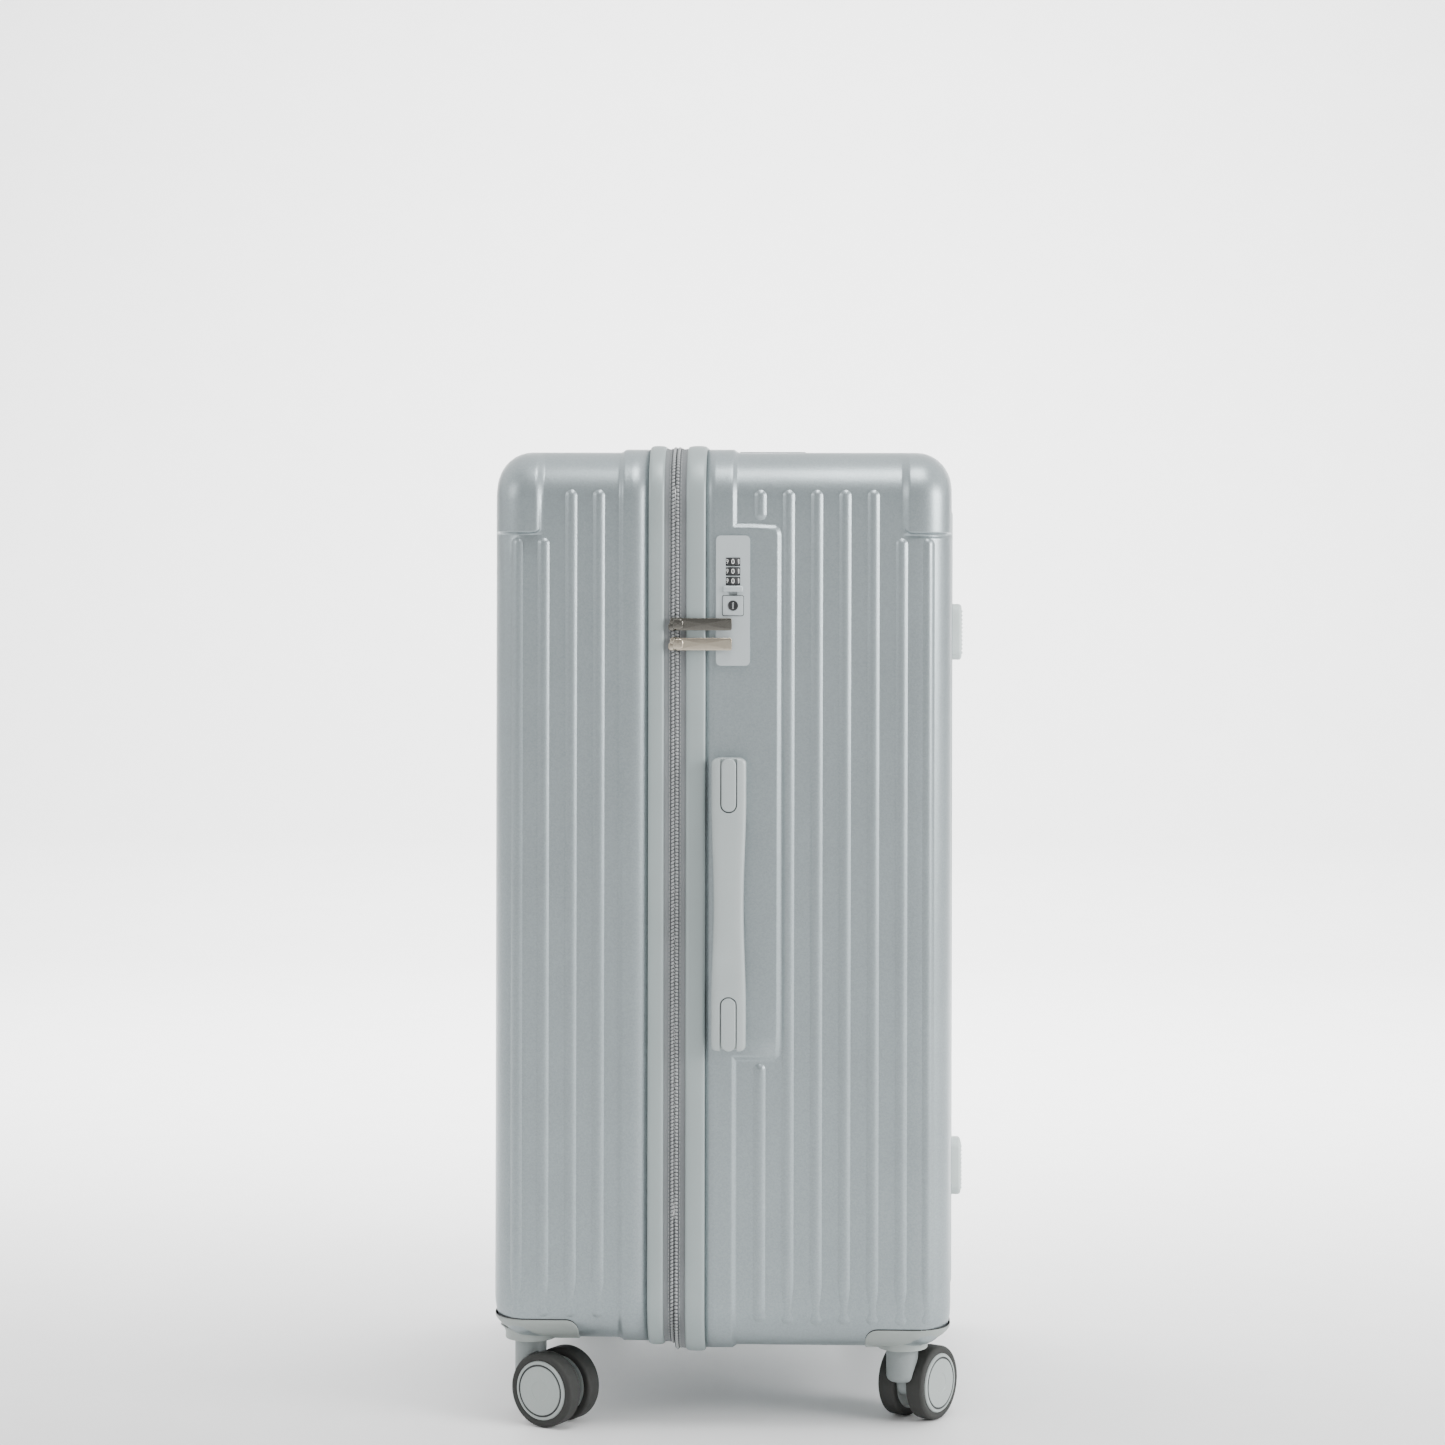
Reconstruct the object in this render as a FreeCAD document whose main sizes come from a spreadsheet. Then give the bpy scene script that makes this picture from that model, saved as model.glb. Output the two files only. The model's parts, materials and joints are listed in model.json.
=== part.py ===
import FreeCAD, Part
import os
import Sketcher

# Hard shell suitcase on four twin-wheel casters.
# Millimetres, +Z up, floor at Z = 0. -Y is the side with the lock and the side handle,
# +Y the hinge side, +X the deep rear half and -X the shallow front half.
# Every piece is drawn about the middle of the case, and its Placement moves it by
# (middle_x, middle_y), so that the origin lies under the centre of the whole object.

SIZES = (
    # Case
    ("middle_x", -4.4, "from the origin to the middle of the case, front to rear"),
    ("middle_y", 7.8, "from the origin to the middle of the case, across"),
    ("case_width", 450, "across, over the plain shell"),
    ("case_depth", 374.5, "front to rear, over the plain shell"),
    ("case_low", 65, "height of the rear shell's underside"),
    ("front_low", 70, "height of the front shell's underside, which hangs a little higher"),
    ("case_high", 794, "height of the shells' top"),
    ("outline_round", 40, "corner radius of the case seen from the front"),
    ("edge_round", 30, "radius from the end faces to the sides"),
    ("wall", 2.8, "thickness of the moulded shell"),
    # Opening
    ("zip_x", -38, "middle of the zip"),
    ("tape_half", 8.5, "width of each half of the zip tape"),
    ("front_rim", 13.5, "width of the front rim"),
    ("rear_rim", 16.5, "width of the rear rim"),
    ("rim_rise", 5.5, "the rims stand this far out of the shell"),
    ("tape_rise", 3.0, "outer face of the tape over the shell"),
    ("tape_thick", 1.6, "thickness of the tape"),
    ("coil_rise", 4.4, "outer face of the zip teeth over the shell"),
    ("coil_width", 3.0, "width of each row of teeth"),
    ("half_gap", 0.15, "from the zip's middle to each half"),
    ("hinge_end", 100, "the zip stops this far from the case's corners at the hinge side"),
    # Relief of the shells
    ("band_rise", 2.5, "height of the bands and of the panel"),
    ("front_band", 22, "width of the band beside the front rim"),
    ("rear_band", 23, "width of the band beside the rear rim"),
    ("panel_x", 46, "rear edge of the raised panel of the lock and handle"),
    ("panel_low", 304, "lower edge of the panel"),
    ("panel_high", 734, "upper edge of the panel"),
    ("rib_width", 8, "width of a rib"),
    ("rib_rise", 1.8, "height of a rib"),
    ("rib_pitch", 22.8, "from rib to rib"),
    ("rib_low", 96, "lower end of the ribs"),
    ("rib_high", 763, "upper end of the ribs"),
    ("rear_rib_x", 53.5, "first full rib of the rear shell"),
    ("front_rib_x", -100, "first rib of the front shell"),
    # Lining
    ("lining_gap", 0.5, "between a shell and its lining"),
    ("lining_thick", 1.2, "thickness of the lining"),
    ("cover_front", 122, "front face of the cover over the handle's tubes"),
    ("cover_half", 96, "half the width of that cover"),
    ("cover_thick", 2.0, "thickness of that cover"),
    # Feet on the rear face
    ("foot_rise", 8.8, "the feet stand this far out of the rear face"),
    ("foot_height", 46, "length of a foot along Z"),
    ("foot_width", 26, "width of a foot along Y"),
    ("foot_y", 150, "feet from the middle of the case"),
    ("foot_low_z", 206, "middle of the lower feet"),
    ("foot_high_z", 647, "middle of the upper feet"),
    # Lock
    ("lock_x", 8.7, "middle of the lock"),
    ("lock_width", 27.5, "width of the lock plate"),
    ("lock_low", 621, "lower end of the lock plate"),
    ("lock_high", 726, "upper end of the lock plate"),
    ("lock_rise", 2.6, "the plate stands this far out of the panel"),
    ("lock_depth", 14, "depth of the lock's box behind the panel"),
    ("dial_radius", 8, "radius of a number dial"),
    ("dial_height", 6, "height of a dial"),
    ("dial_pitch", 7.8, "from dial to dial"),
    ("dial_mid_z", 697, "middle of the second dial"),
    ("dial_sunk", 6.2, "dial axis behind the plate's face"),
    ("pin_radius", 1.45, "radius of the dials' pin"),
    ("key_z", 669.5, "height of the keyhole"),
    ("key_radius", 3.65, "radius of the key cylinder"),
    ("button_z", 683, "middle of the release button"),
    ("button_height", 6.2, "height of the release button"),
    ("button_width", 16, "width of the release button"),
    # Zip sliders and pull tabs
    ("slider_high_z", 654.5, "height of the upper slider"),
    ("slider_low_z", 638.5, "height of the lower slider"),
    ("slider_width", 11, "width of a slider"),
    ("slider_length", 10, "length of a slider"),
    ("slider_base", 1.6, "thickness of a slider's plate"),
    ("slider_pin", 0.9, "radius of a slider's pin"),
    ("pivot_rise", 4.2, "pin's axis over the slider's seat"),
    ("tab_length", 46, "length of a pull tab"),
    ("tab_width", 10, "width of a pull tab"),
    ("tab_thick", 1.6, "thickness of a pull tab"),
    # Carrying handles
    ("side_handle_x", 6, "middle of the side handle"),
    ("side_handle_z", 429.5, "middle of the side handle"),
    ("top_handle_x", 38.5, "middle of the top handle"),
    ("grip_length", 235, "length of a carrying handle"),
    ("grip_width", 27, "width of a carrying handle"),
    ("grip_low", 7.5, "underside of a handle's ends over its seat"),
    ("grip_high", 18.5, "outer face of a handle over its seat"),
    ("grip_arch", 8.5, "underside of a handle's middle over its seat"),
    ("grip_gap", 126, "length of the finger gap"),
    ("base_high", 7.2, "height of a handle's bases over the seat"),
    ("base_length", 50, "length of a handle's base"),
    ("tongue_width", 13, "width of a base's tongue"),
    ("tongue_length", 43, "length of a tongue"),
    ("tongue_gap", 0.6, "gap all round a tongue"),
    ("cup_depth", 16, "floor of the top handle's cup below the top"),
    ("cup_length", 258, "length of that cup"),
    ("cup_width", 45, "width of that cup"),
    ("cup_wall", 2, "thickness of the cups"),
    # Telescopic handle
    ("trolley_x", 134, "axis of the tubes, front to rear"),
    ("tube_y", 70, "tubes from the middle of the case"),
    ("tube_low", 92, "lower end of the tubes"),
    ("tube_wall", 1.2, "thickness of the tubes"),
    ("outer_radius", 10, "radius of the outer tubes"),
    ("tube_gap", 0.1, "gap between tube and tube"),
    ("bezel_x", 122, "middle of the telescopic handle's cup"),
    ("bezel_width", 52, "width of that cup inside"),
    ("bezel_length", 186, "length of that cup inside"),
    ("bezel_depth", 22, "depth of that cup below the top"),
    ("bar_width", 26, "width of the telescopic handle's bar"),
    ("bar_length", 178, "length of the bar"),
    ("bar_high", 796, "top of the bar"),
    ("bar_thick", 17, "height of the bar"),
    ("push_length", 38, "length of the push button"),
    ("push_width", 12, "width of the push button"),
    ("push_depth", 6, "depth of the push button"),
    # Casters
    ("front_swivel_x", -158, "swivel axis of the front casters"),
    ("rear_swivel_x", 147, "swivel axis of the rear casters"),
    ("swivel_y", 178, "swivel axes from the middle of the case"),
    ("front_near_turn", -31, "direction in which a caster trails, in degrees from +X"),
    ("front_far_turn", -20, "the same for the front caster at the hinge side"),
    ("rear_near_turn", 58, "the same for the rear caster at the lock side"),
    ("rear_far_turn", -125, "the same for the rear caster at the hinge side"),
    ("wheel_radius", 30, "radius of a wheel"),
    ("trail", 25, "axle behind the swivel axis"),
    ("wheel_inside", 5.5, "inner face of a wheel from the fork's middle"),
    ("tyre_width", 15.5, "width of a tyre"),
    ("tyre_bore", 24, "inner radius of a tyre"),
    ("cap_rise", 1.0, "the wheel's cap stands this far out of the tyre"),
    ("axle_radius", 3.0, "radius of the axle"),
    ("fork_thick", 9.4, "thickness of the fork's arm"),
    ("stem_radius", 13, "radius of the fork's stem"),
    ("stem_low", 34, "lower end of the stem"),
    ("rear_boss_low", 61.8, "underside of the rear casters' housings"),
    ("front_boss_low", 67.0, "underside of the front casters' housings"),
    ("boss_radius", 19, "radius of the housing's round boss"),
    ("socket_radius", 11, "radius of the kingpin's socket"),
    ("socket_high", 84, "upper end of the socket"),
    ("kingpin_radius", 4, "radius of the kingpin"),
    ("run_gap", 0.06, "running gap of pins, axles and dials"),
    ("housing_rise", 1.6, "the housing's skirt stands this far out of the shell"),
    ("housing_span", 72, "length of the housing along each side"),
    ("front_seam", 90, "upper edge of the front housings"),
    ("rear_seam", 83, "upper edge of the rear housings"),
    ("grip_corner", 9, "corner radius of a grip and its bases"),
    ("grip_round", 3.5, "rounding of a grip's outer edges"),
    ("tongue_corner", 6, "corner radius of a handle's tongue"),
    ("mouth_corner", 6, "corner radius of a sunken cup's mouth"),
    ("lug_reach", 4.1, "distance of a slider's lugs from its middle"),
    ("lug_half", 0.7, "half the thickness of a slider's lug"),
    ("bar_corner", 8, "corner radius of the telescopic handle's bar"),
    ("bar_round", 5, "rounding of the bar's top edges"),
    ("stem_round", 5, "rounding of the stem's lower end"),
    ("tyre_round", 3, "rounding of a tyre's edges"),
    ("stage_step", 6, "each inner tube starts this much higher than the one before"),
)

NEAR, FAR = -1, 1          # signs of Y: the lock side and the hinge side
SIDES = (("near", NEAR), ("far", FAR))
FRONT, REAR = -1, 1        # signs of X

doc = FreeCAD.newDocument("Suitcase")
pieces = []                # the objects that are written out, one per sub-part


# ---------------------------------------------------------------- document helpers

def make_sheet():
    """Put every driving dimension into the spreadsheet, each under its alias."""
    sheet = doc.addObject("Spreadsheet::Sheet", "Sizes")
    for row, (alias, number, note) in enumerate(SIZES, start=1):
        sheet.set("A%d" % row, note)
        sheet.set("B%d" % row, str(number))
        sheet.setAlias("B%d" % row, alias)
    doc.recompute()
    return sheet


sizes = make_sheet()


def number(expression):
    """The present value of an expression over the sheet's aliases."""
    return float(sizes.evalExpression(expression.replace("Sizes.", "")))


def bind(thing, prop, expression):
    """Bind one property of an object to an expression."""
    thing.setExpression(prop, expression)


def put_in_place(thing, x="0", y="0", turn=None):
    """Move a piece from the middle of the case to the object's own frame."""
    bind(thing, "Placement.Base.x", "Sizes.middle_x + %s" % x)
    bind(thing, "Placement.Base.y", "Sizes.middle_y + %s" % y)
    if turn:
        thing.Placement.Rotation = FreeCAD.Rotation(FreeCAD.Vector(0, 0, 1), number(turn))
        bind(thing, "Placement.Rotation.Angle", turn)


def keep(thing, label):
    """Name a finished sub-part and list it for export."""
    thing.Label = label
    pieces.append(thing)
    return thing


def new_body(label):
    """Start a body for one sub-part."""
    body = doc.addObject("PartDesign::Body", "Body_" + label)
    body.Label = label
    return body


def new_sketch(body, plane, offset="0"):
    """Start a sketch on one of the body's own origin planes, moved along its normal."""
    sketch = body.newObject("Sketcher::SketchObject", "Sketch")
    support = [item for item in body.Origin.OriginFeatures if item.Role == plane][0]
    sketch.AttachmentSupport = (support, [""])
    sketch.MapMode = "FlatFace"
    bind(sketch, "AttachmentOffset.Base.z", offset)
    return sketch


# ---------------------------------------------------------------- sketch helpers

def constrain(sketch, kind, *references):
    """Add a constraint that has no value."""
    return sketch.addConstraint(Sketcher.Constraint(kind, *references))


def dimension(sketch, kind, references, expression):
    """Add a dimension and bind it to an expression."""
    rule = Sketcher.Constraint(kind, *references, number(expression))
    index = sketch.addConstraint(rule)
    bind(sketch, "Constraints[%d]" % index, expression)


def draw_rectangle(sketch, left, bottom, right, top):
    """Draw a rectangle whose four sides lie at the given expressions."""
    x0, y0, x1, y1 = (number(side) for side in (left, bottom, right, top))
    corners = [FreeCAD.Vector(x, y, 0) for x, y in ((x0, y0), (x1, y0), (x1, y1), (x0, y1))]
    lines = [sketch.addGeometry(Part.LineSegment(corners[i], corners[(i + 1) % 4]), False)
             for i in range(4)]
    for i in range(4):
        constrain(sketch, "Coincident", lines[i], 2, lines[(i + 1) % 4], 1)
        constrain(sketch, "Horizontal" if i % 2 == 0 else "Vertical", lines[i])
    dimension(sketch, "DistanceX", (-1, 1, lines[0], 1), left)
    dimension(sketch, "DistanceY", (-1, 1, lines[0], 1), bottom)
    dimension(sketch, "DistanceX", (-1, 1, lines[2], 1), right)
    dimension(sketch, "DistanceY", (-1, 1, lines[2], 1), top)


def draw_round_rectangle(sketch, left, bottom, right, top, radius):
    """Draw a rectangle with four equal round corners."""
    x0, y0, x1, y1 = (number(side) for side in (left, bottom, right, top))
    r = number(radius)
    point = FreeCAD.Vector
    ends = ((point(x0 + r, y0, 0), point(x1 - r, y0, 0)), (point(x1, y0 + r, 0), point(x1, y1 - r, 0)),
            (point(x1 - r, y1, 0), point(x0 + r, y1, 0)), (point(x0, y1 - r, 0), point(x0, y0 + r, 0)))
    centres = (point(x1 - r, y0 + r, 0), point(x1 - r, y1 - r, 0),
               point(x0 + r, y1 - r, 0), point(x0 + r, y0 + r, 0))
    lines = [sketch.addGeometry(Part.LineSegment(*pair), False) for pair in ends]
    arcs = []
    for i, centre in enumerate(centres):
        circle = Part.Circle(centre, point(0, 0, 1), r)
        start = (i - 1) * 1.5707963267948966
        arcs.append(sketch.addGeometry(Part.ArcOfCircle(circle, start, start + 1.5707963267948966), False))
    for i in range(4):
        constrain(sketch, "Tangent", lines[i], 2, arcs[i], 1)
        constrain(sketch, "Tangent", arcs[i], 2, lines[(i + 1) % 4], 1)
        constrain(sketch, "Horizontal" if i % 2 == 0 else "Vertical", lines[i])
    for i in range(1, 4):
        constrain(sketch, "Equal", arcs[0], arcs[i])
    dimension(sketch, "Radius", (arcs[0],), radius)
    dimension(sketch, "DistanceY", (-1, 1, lines[0], 1), bottom)
    dimension(sketch, "DistanceX", (-1, 1, lines[1], 1), right)
    dimension(sketch, "DistanceY", (-1, 1, lines[2], 1), top)
    dimension(sketch, "DistanceX", (-1, 1, lines[3], 1), left)


def draw_circle(sketch, x, y, radius):
    """Draw a circle whose centre and radius are expressions."""
    centre = FreeCAD.Vector(number(x), number(y), 0)
    circle = sketch.addGeometry(Part.Circle(centre, FreeCAD.Vector(0, 0, 1), number(radius)), False)
    dimension(sketch, "Radius", (circle,), radius)
    dimension(sketch, "DistanceX", (-1, 1, circle, 3), x)
    dimension(sketch, "DistanceY", (-1, 1, circle, 3), y)


# ---------------------------------------------------------------- feature helpers

def pad(body, sketch, length):
    """Grow a sketch along its normal by the given expression."""
    feature = body.newObject("PartDesign::Pad", "Pad")
    feature.Profile = sketch
    bind(feature, "Length", length)
    doc.recompute()
    return feature


def pocket(body, sketch, length):
    """Cut a sketch into the body along its normal, and check that it cuts."""
    before = body.Shape.Volume
    feature = body.newObject("PartDesign::Pocket", "Pocket")
    feature.Profile = sketch
    feature.Reversed = True
    bind(feature, "Length", length)
    doc.recompute()
    if body.Shape.Volume > before - 0.01:
        raise RuntimeError("a pocket of %s cuts nothing" % body.Label)
    return feature


def round_edges(body, feature, test, radius):
    """Round the edges of the body's last feature for which test(edge) holds."""
    names = ["Edge%d" % (i + 1) for i, edge in enumerate(feature.Shape.Edges) if test(edge)]
    fillet = body.newObject("PartDesign::Fillet", "Fillet")
    fillet.Base = (feature, names)
    bind(fillet, "Radius", radius)
    doc.recompute()
    return fillet


def lies_at(axis, position):
    """A test for edges that lie wholly in the plane axis = position."""
    def test(edge):
        box = edge.BoundBox
        low, high = {"x": (box.XMin, box.XMax), "y": (box.YMin, box.YMax), "z": (box.ZMin, box.ZMax)}[axis]
        return abs(low - position) < 0.01 and abs(high - position) < 0.01
    return test



def cylinder(label, radius, low, high, x, y):
    """An upright Part cylinder about (x, y)."""
    tool = doc.addObject("Part::Cylinder", label)
    bind(tool, "Radius", radius)
    bind(tool, "Height", "%s - %s" % (high, low))
    bind(tool, "Placement.Base.x", x)
    bind(tool, "Placement.Base.y", y)
    bind(tool, "Placement.Base.z", low)
    return tool


def combine(kind, label, base, tool):
    """A Part boolean of two objects."""
    result = doc.addObject(kind, label)
    result.Base = base
    result.Tool = tool
    doc.recompute()
    return result


# ---------------------------------------------------------------- shells, rims, zip

def draw_case_outline(sketch, half, offset="0"):
    """The rounded outline of one half in YZ, larger by offset all round."""
    draw_round_rectangle(sketch, "-Sizes.case_width / 2 - (%s)" % offset, "%s - (%s)" % (LOW[half], offset),
                         "Sizes.case_width / 2 + (%s)" % offset, "Sizes.case_high + (%s)" % offset,
                         "Sizes.outline_round + (%s)" % offset)


# Underside of each half, and of its casters' housings
LOW = {REAR: "Sizes.case_low", FRONT: "Sizes.front_low"}
BOSS_LOW = {REAR: "Sizes.rear_boss_low", FRONT: "Sizes.front_boss_low"}

# X of the seam between each shell and its rim
SEAM = {REAR: "(Sizes.zip_x + Sizes.tape_half + Sizes.rear_rim)",
        FRONT: "(Sizes.zip_x - Sizes.tape_half - Sizes.front_rim)"}


def pad_case_block(body, half, offset):
    """A solid block of one half of the case, rounded at its end face."""
    seam = SEAM[half]
    if half == REAR:
        sketch = new_sketch(body, "YZ_Plane", seam)
        length = "Sizes.case_depth / 2 - %s + (%s)" % (seam, offset)
    else:
        sketch = new_sketch(body, "YZ_Plane", "-Sizes.case_depth / 2 - (%s)" % offset)
        length = "%s + Sizes.case_depth / 2 + (%s)" % (seam, offset)
    draw_case_outline(sketch, half, offset)
    block = pad(body, sketch, length)
    end = half * number("Sizes.case_depth / 2 + (%s)" % offset)
    return round_edges(body, block, lies_at("x", end), "Sizes.edge_round + (%s)" % offset)


def hollow_out(body, block, half, thickness):
    """Turn a block into a tray that is open at its seam."""
    seam = number(SEAM[half])
    names = ["Face%d" % (i + 1) for i, face in enumerate(block.Shape.Faces)
             if abs(face.BoundBox.XMin - seam) < 0.01 and abs(face.BoundBox.XMax - seam) < 0.01]
    tray = body.newObject("PartDesign::Thickness", "Thickness")
    tray.Base = (block, names)
    tray.Reversed = True
    bind(tray, "Value", thickness)
    doc.recompute()
    return tray


def pad_ring(body, half, start, width, inner, outer):
    """A ring round one half from X = start, between two offsets of its outline."""
    sketch = new_sketch(body, "YZ_Plane", start)
    draw_case_outline(sketch, half, outer)
    draw_case_outline(sketch, half, inner)
    return pad(body, sketch, width)


def add_ribs(body, side, first, count, half):
    """Upright ribs with round ends on one broad side of a shell."""
    face = "Sizes.case_width / 2 - Sizes.wall + 0.2"
    sketch = new_sketch(body, "XZ_Plane", "(%s) * %d" % (face, -side))
    draw_round_rectangle(sketch, "%s - Sizes.rib_width / 2" % first, "Sizes.rib_low",
                         "%s + Sizes.rib_width / 2" % first, "Sizes.rib_high",
                         "Sizes.rib_width / 2 - 0.2")
    rib = pad(body, sketch, "Sizes.wall - 0.2 + Sizes.rib_rise")
    rib.Reversed = side == FAR
    row = body.newObject("PartDesign::LinearPattern", "RibRow")
    row.Originals = [rib]
    row.Direction = (sketch, ["H_Axis"])
    row.Reversed = half == FRONT
    bind(row, "Length", "%d * Sizes.rib_pitch" % (count - 1))
    row.Occurrences = count
    body.Tip = row
    doc.recompute()


def cut_window(body, plane, offset, sides, depth, radius=None):
    """Cut a rectangular window; sides are (left, bottom, right, top)."""
    sketch = new_sketch(body, plane, offset)
    if radius:
        draw_round_rectangle(sketch, *sides, radius)
    else:
        draw_rectangle(sketch, *sides)
    pocket(body, sketch, depth)


def cut_socket_holes(body, half):
    """Round holes in the underside for the casters' sockets."""
    x = "Sizes.rear_swivel_x" if half == REAR else "Sizes.front_swivel_x"
    sketch = new_sketch(body, "XY_Plane", "%s - 5" % LOW[half])
    for _, side in SIDES:
        draw_circle(sketch, x, "%d * Sizes.swivel_y" % side, "Sizes.socket_radius + 0.2")
    pocket(body, sketch, "25")


LOCK_BOX = ("Sizes.lock_x - Sizes.lock_width / 2 + 1.5", "Sizes.lock_low + 3",
            "Sizes.lock_x + Sizes.lock_width / 2 - 1.5", "Sizes.lock_high - 3")
CUP_BOX = ("Sizes.top_handle_x - Sizes.cup_width / 2 - Sizes.cup_wall",
           "-Sizes.cup_length / 2 - Sizes.cup_wall",
           "Sizes.top_handle_x + Sizes.cup_width / 2 + Sizes.cup_wall",
           "Sizes.cup_length / 2 + Sizes.cup_wall")
BEZEL_BOX = ("Sizes.bezel_x - Sizes.bezel_width / 2 - Sizes.cup_wall",
             "-Sizes.bezel_length / 2 - Sizes.cup_wall",
             "Sizes.bezel_x + Sizes.bezel_width / 2 + Sizes.cup_wall",
             "Sizes.bezel_length / 2 + Sizes.cup_wall")


def grown(sides, gap):
    """The same four sides, moved out by a gap."""
    left, bottom, right, top = sides
    return ("%s - %s" % (left, gap), "%s - %s" % (bottom, gap),
            "%s + %s" % (right, gap), "%s + %s" % (top, gap))


def cut_rear_windows(body, gap):
    """Windows for the lock's box and for the two cups in the top."""
    cut_window(body, "XZ_Plane", "Sizes.case_width / 2 - 20", grown(LOCK_BOX, gap), "40")
    cut_window(body, "XY_Plane", "Sizes.case_high - 20", grown(CUP_BOX, gap), "40")
    cut_window(body, "XY_Plane", "Sizes.case_high - 20", grown(BEZEL_BOX, gap), "40")


def rear_shell():
    """Deep moulded half: tray, band, raised panel, ribs and its windows."""
    body = new_body("rear_shell")
    block = pad_case_block(body, REAR, "0")
    hollow_out(body, block, REAR, "Sizes.wall")
    pad_ring(body, REAR, SEAM[REAR], "Sizes.rear_band", "-Sizes.wall + 0.2", "Sizes.band_rise")
    sketch = new_sketch(body, "XZ_Plane", "Sizes.case_width / 2 - 1")
    draw_rectangle(sketch, SEAM[REAR], "Sizes.panel_low", "Sizes.panel_x", "Sizes.panel_high")
    pad(body, sketch, "Sizes.band_rise + 1")
    for _, side in SIDES:
        add_ribs(body, side, "Sizes.rear_rib_x", 6, REAR)
    cut_rear_windows(body, "0.1")
    cut_socket_holes(body, REAR)
    put_in_place(body)
    keep(body, "rear_shell")


def front_shell():
    """Shallow moulded half: tray, band and ribs."""
    body = new_body("front_shell")
    block = pad_case_block(body, FRONT, "0")
    hollow_out(body, block, FRONT, "Sizes.wall")
    pad_ring(body, FRONT, "%s - Sizes.front_band" % SEAM[FRONT], "Sizes.front_band",
             "-Sizes.wall + 0.2", "Sizes.band_rise")
    for _, side in SIDES:
        add_ribs(body, side, "Sizes.front_rib_x", 4, FRONT)
    cut_socket_holes(body, FRONT)
    put_in_place(body)
    keep(body, "front_shell")


def ring_piece(label, half, start, width, inner, outer):
    """A sub-part that is one plain ring round one half."""
    body = new_body(label)
    pad_ring(body, half, start, width, inner, outer)
    put_in_place(body)
    keep(body, label)


def rims_and_tapes():
    """The two rims, and the woven tape that each holds."""
    rim = ("-Sizes.wall", "Sizes.rim_rise")
    ring_piece("rear_rim", REAR, "Sizes.zip_x + Sizes.tape_half", "Sizes.rear_rim", *rim)
    ring_piece("front_rim", FRONT, SEAM[FRONT], "Sizes.front_rim", *rim)
    tape = ("Sizes.tape_half - Sizes.half_gap", "Sizes.tape_rise - Sizes.tape_thick", "Sizes.tape_rise")
    ring_piece("rear_zip_tape", REAR, "Sizes.zip_x + Sizes.half_gap", *tape)
    ring_piece("front_zip_tape", FRONT, "Sizes.zip_x - Sizes.tape_half", *tape)


def zip_teeth():
    """Two facing rows of teeth, open along the hinge side."""
    starts = {"rear_zip_teeth": (REAR, "Sizes.zip_x + Sizes.half_gap"),
              "front_zip_teeth": (FRONT, "Sizes.zip_x - Sizes.half_gap - Sizes.coil_width")}
    for label, (half, start) in starts.items():
        body = new_body(label)
        pad_ring(body, half, start, "Sizes.coil_width", "Sizes.tape_rise", "Sizes.coil_rise")
        cut_window(body, "XZ_Plane", "-Sizes.case_width / 2 - 10",
                   ("Sizes.zip_x - 20", "Sizes.case_low + Sizes.hinge_end",
                    "Sizes.zip_x + 20", "Sizes.case_high - Sizes.hinge_end"), "20")
        put_in_place(body)
        keep(body, label)


def lining(label, half):
    """The cloth lining, a thin tray just inside its shell."""
    body = new_body(label)
    block = pad_case_block(body, half, "-Sizes.wall - Sizes.lining_gap")
    hollow_out(body, block, half, "Sizes.lining_thick")
    if half == REAR:
        cut_rear_windows(body, "1")
    cut_socket_holes(body, half)
    put_in_place(body)
    keep(body, label)


def tube_cover():
    """A board tray inside the rear half, in front of the telescopic tubes."""
    body = new_body("tube_cover")
    back = "Sizes.case_depth / 2 - Sizes.wall - Sizes.lining_gap - Sizes.lining_thick - 0.3"
    low = "Sizes.case_low + Sizes.wall + 10"
    high = "Sizes.case_high - Sizes.bezel_depth - 6"
    sketch = new_sketch(body, "YZ_Plane", "Sizes.cover_front")
    draw_round_rectangle(sketch, "-Sizes.cover_half", low, "Sizes.cover_half", high, "8")
    block = pad(body, sketch, "%s - Sizes.cover_front - 10" % back)
    inside = new_sketch(body, "YZ_Plane", "Sizes.cover_front + Sizes.cover_thick")
    draw_round_rectangle(inside, "-Sizes.cover_half + Sizes.cover_thick", "%s + Sizes.cover_thick" % low,
                         "Sizes.cover_half - Sizes.cover_thick", "%s - Sizes.cover_thick" % high, "6")
    pocket(body, inside, "100")
    holes = new_sketch(body, "XY_Plane", "%s - 15" % high)
    for _, side in SIDES:
        draw_circle(holes, "Sizes.trolley_x", "%d * Sizes.tube_y" % side, "Sizes.outer_radius + 0.4")
    pocket(body, holes, "30")
    put_in_place(body)
    keep(body, "tube_cover")


def rear_feet():
    """Four ribbed feet on which the case lies when it is packed."""
    body = new_body("rear_feet")
    sketch = new_sketch(body, "YZ_Plane", "Sizes.case_depth / 2")
    for _, side in SIDES:
        for height in ("Sizes.foot_low_z", "Sizes.foot_high_z"):
            middle = "%d * Sizes.foot_y" % side
            draw_round_rectangle(sketch, "%s - Sizes.foot_width / 2" % middle,
                                 "%s - Sizes.foot_height / 2" % height,
                                 "%s + Sizes.foot_width / 2" % middle,
                                 "%s + Sizes.foot_height / 2" % height, "6")
    pad(body, sketch, "Sizes.foot_rise")
    put_in_place(body)
    keep(body, "rear_feet")


# ---------------------------------------------------------------- lock

PLATE_FACE = "Sizes.case_width / 2 + Sizes.band_rise + Sizes.lock_rise"
DIAL_Y = "-(%s - Sizes.dial_sunk)" % PLATE_FACE


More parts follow.
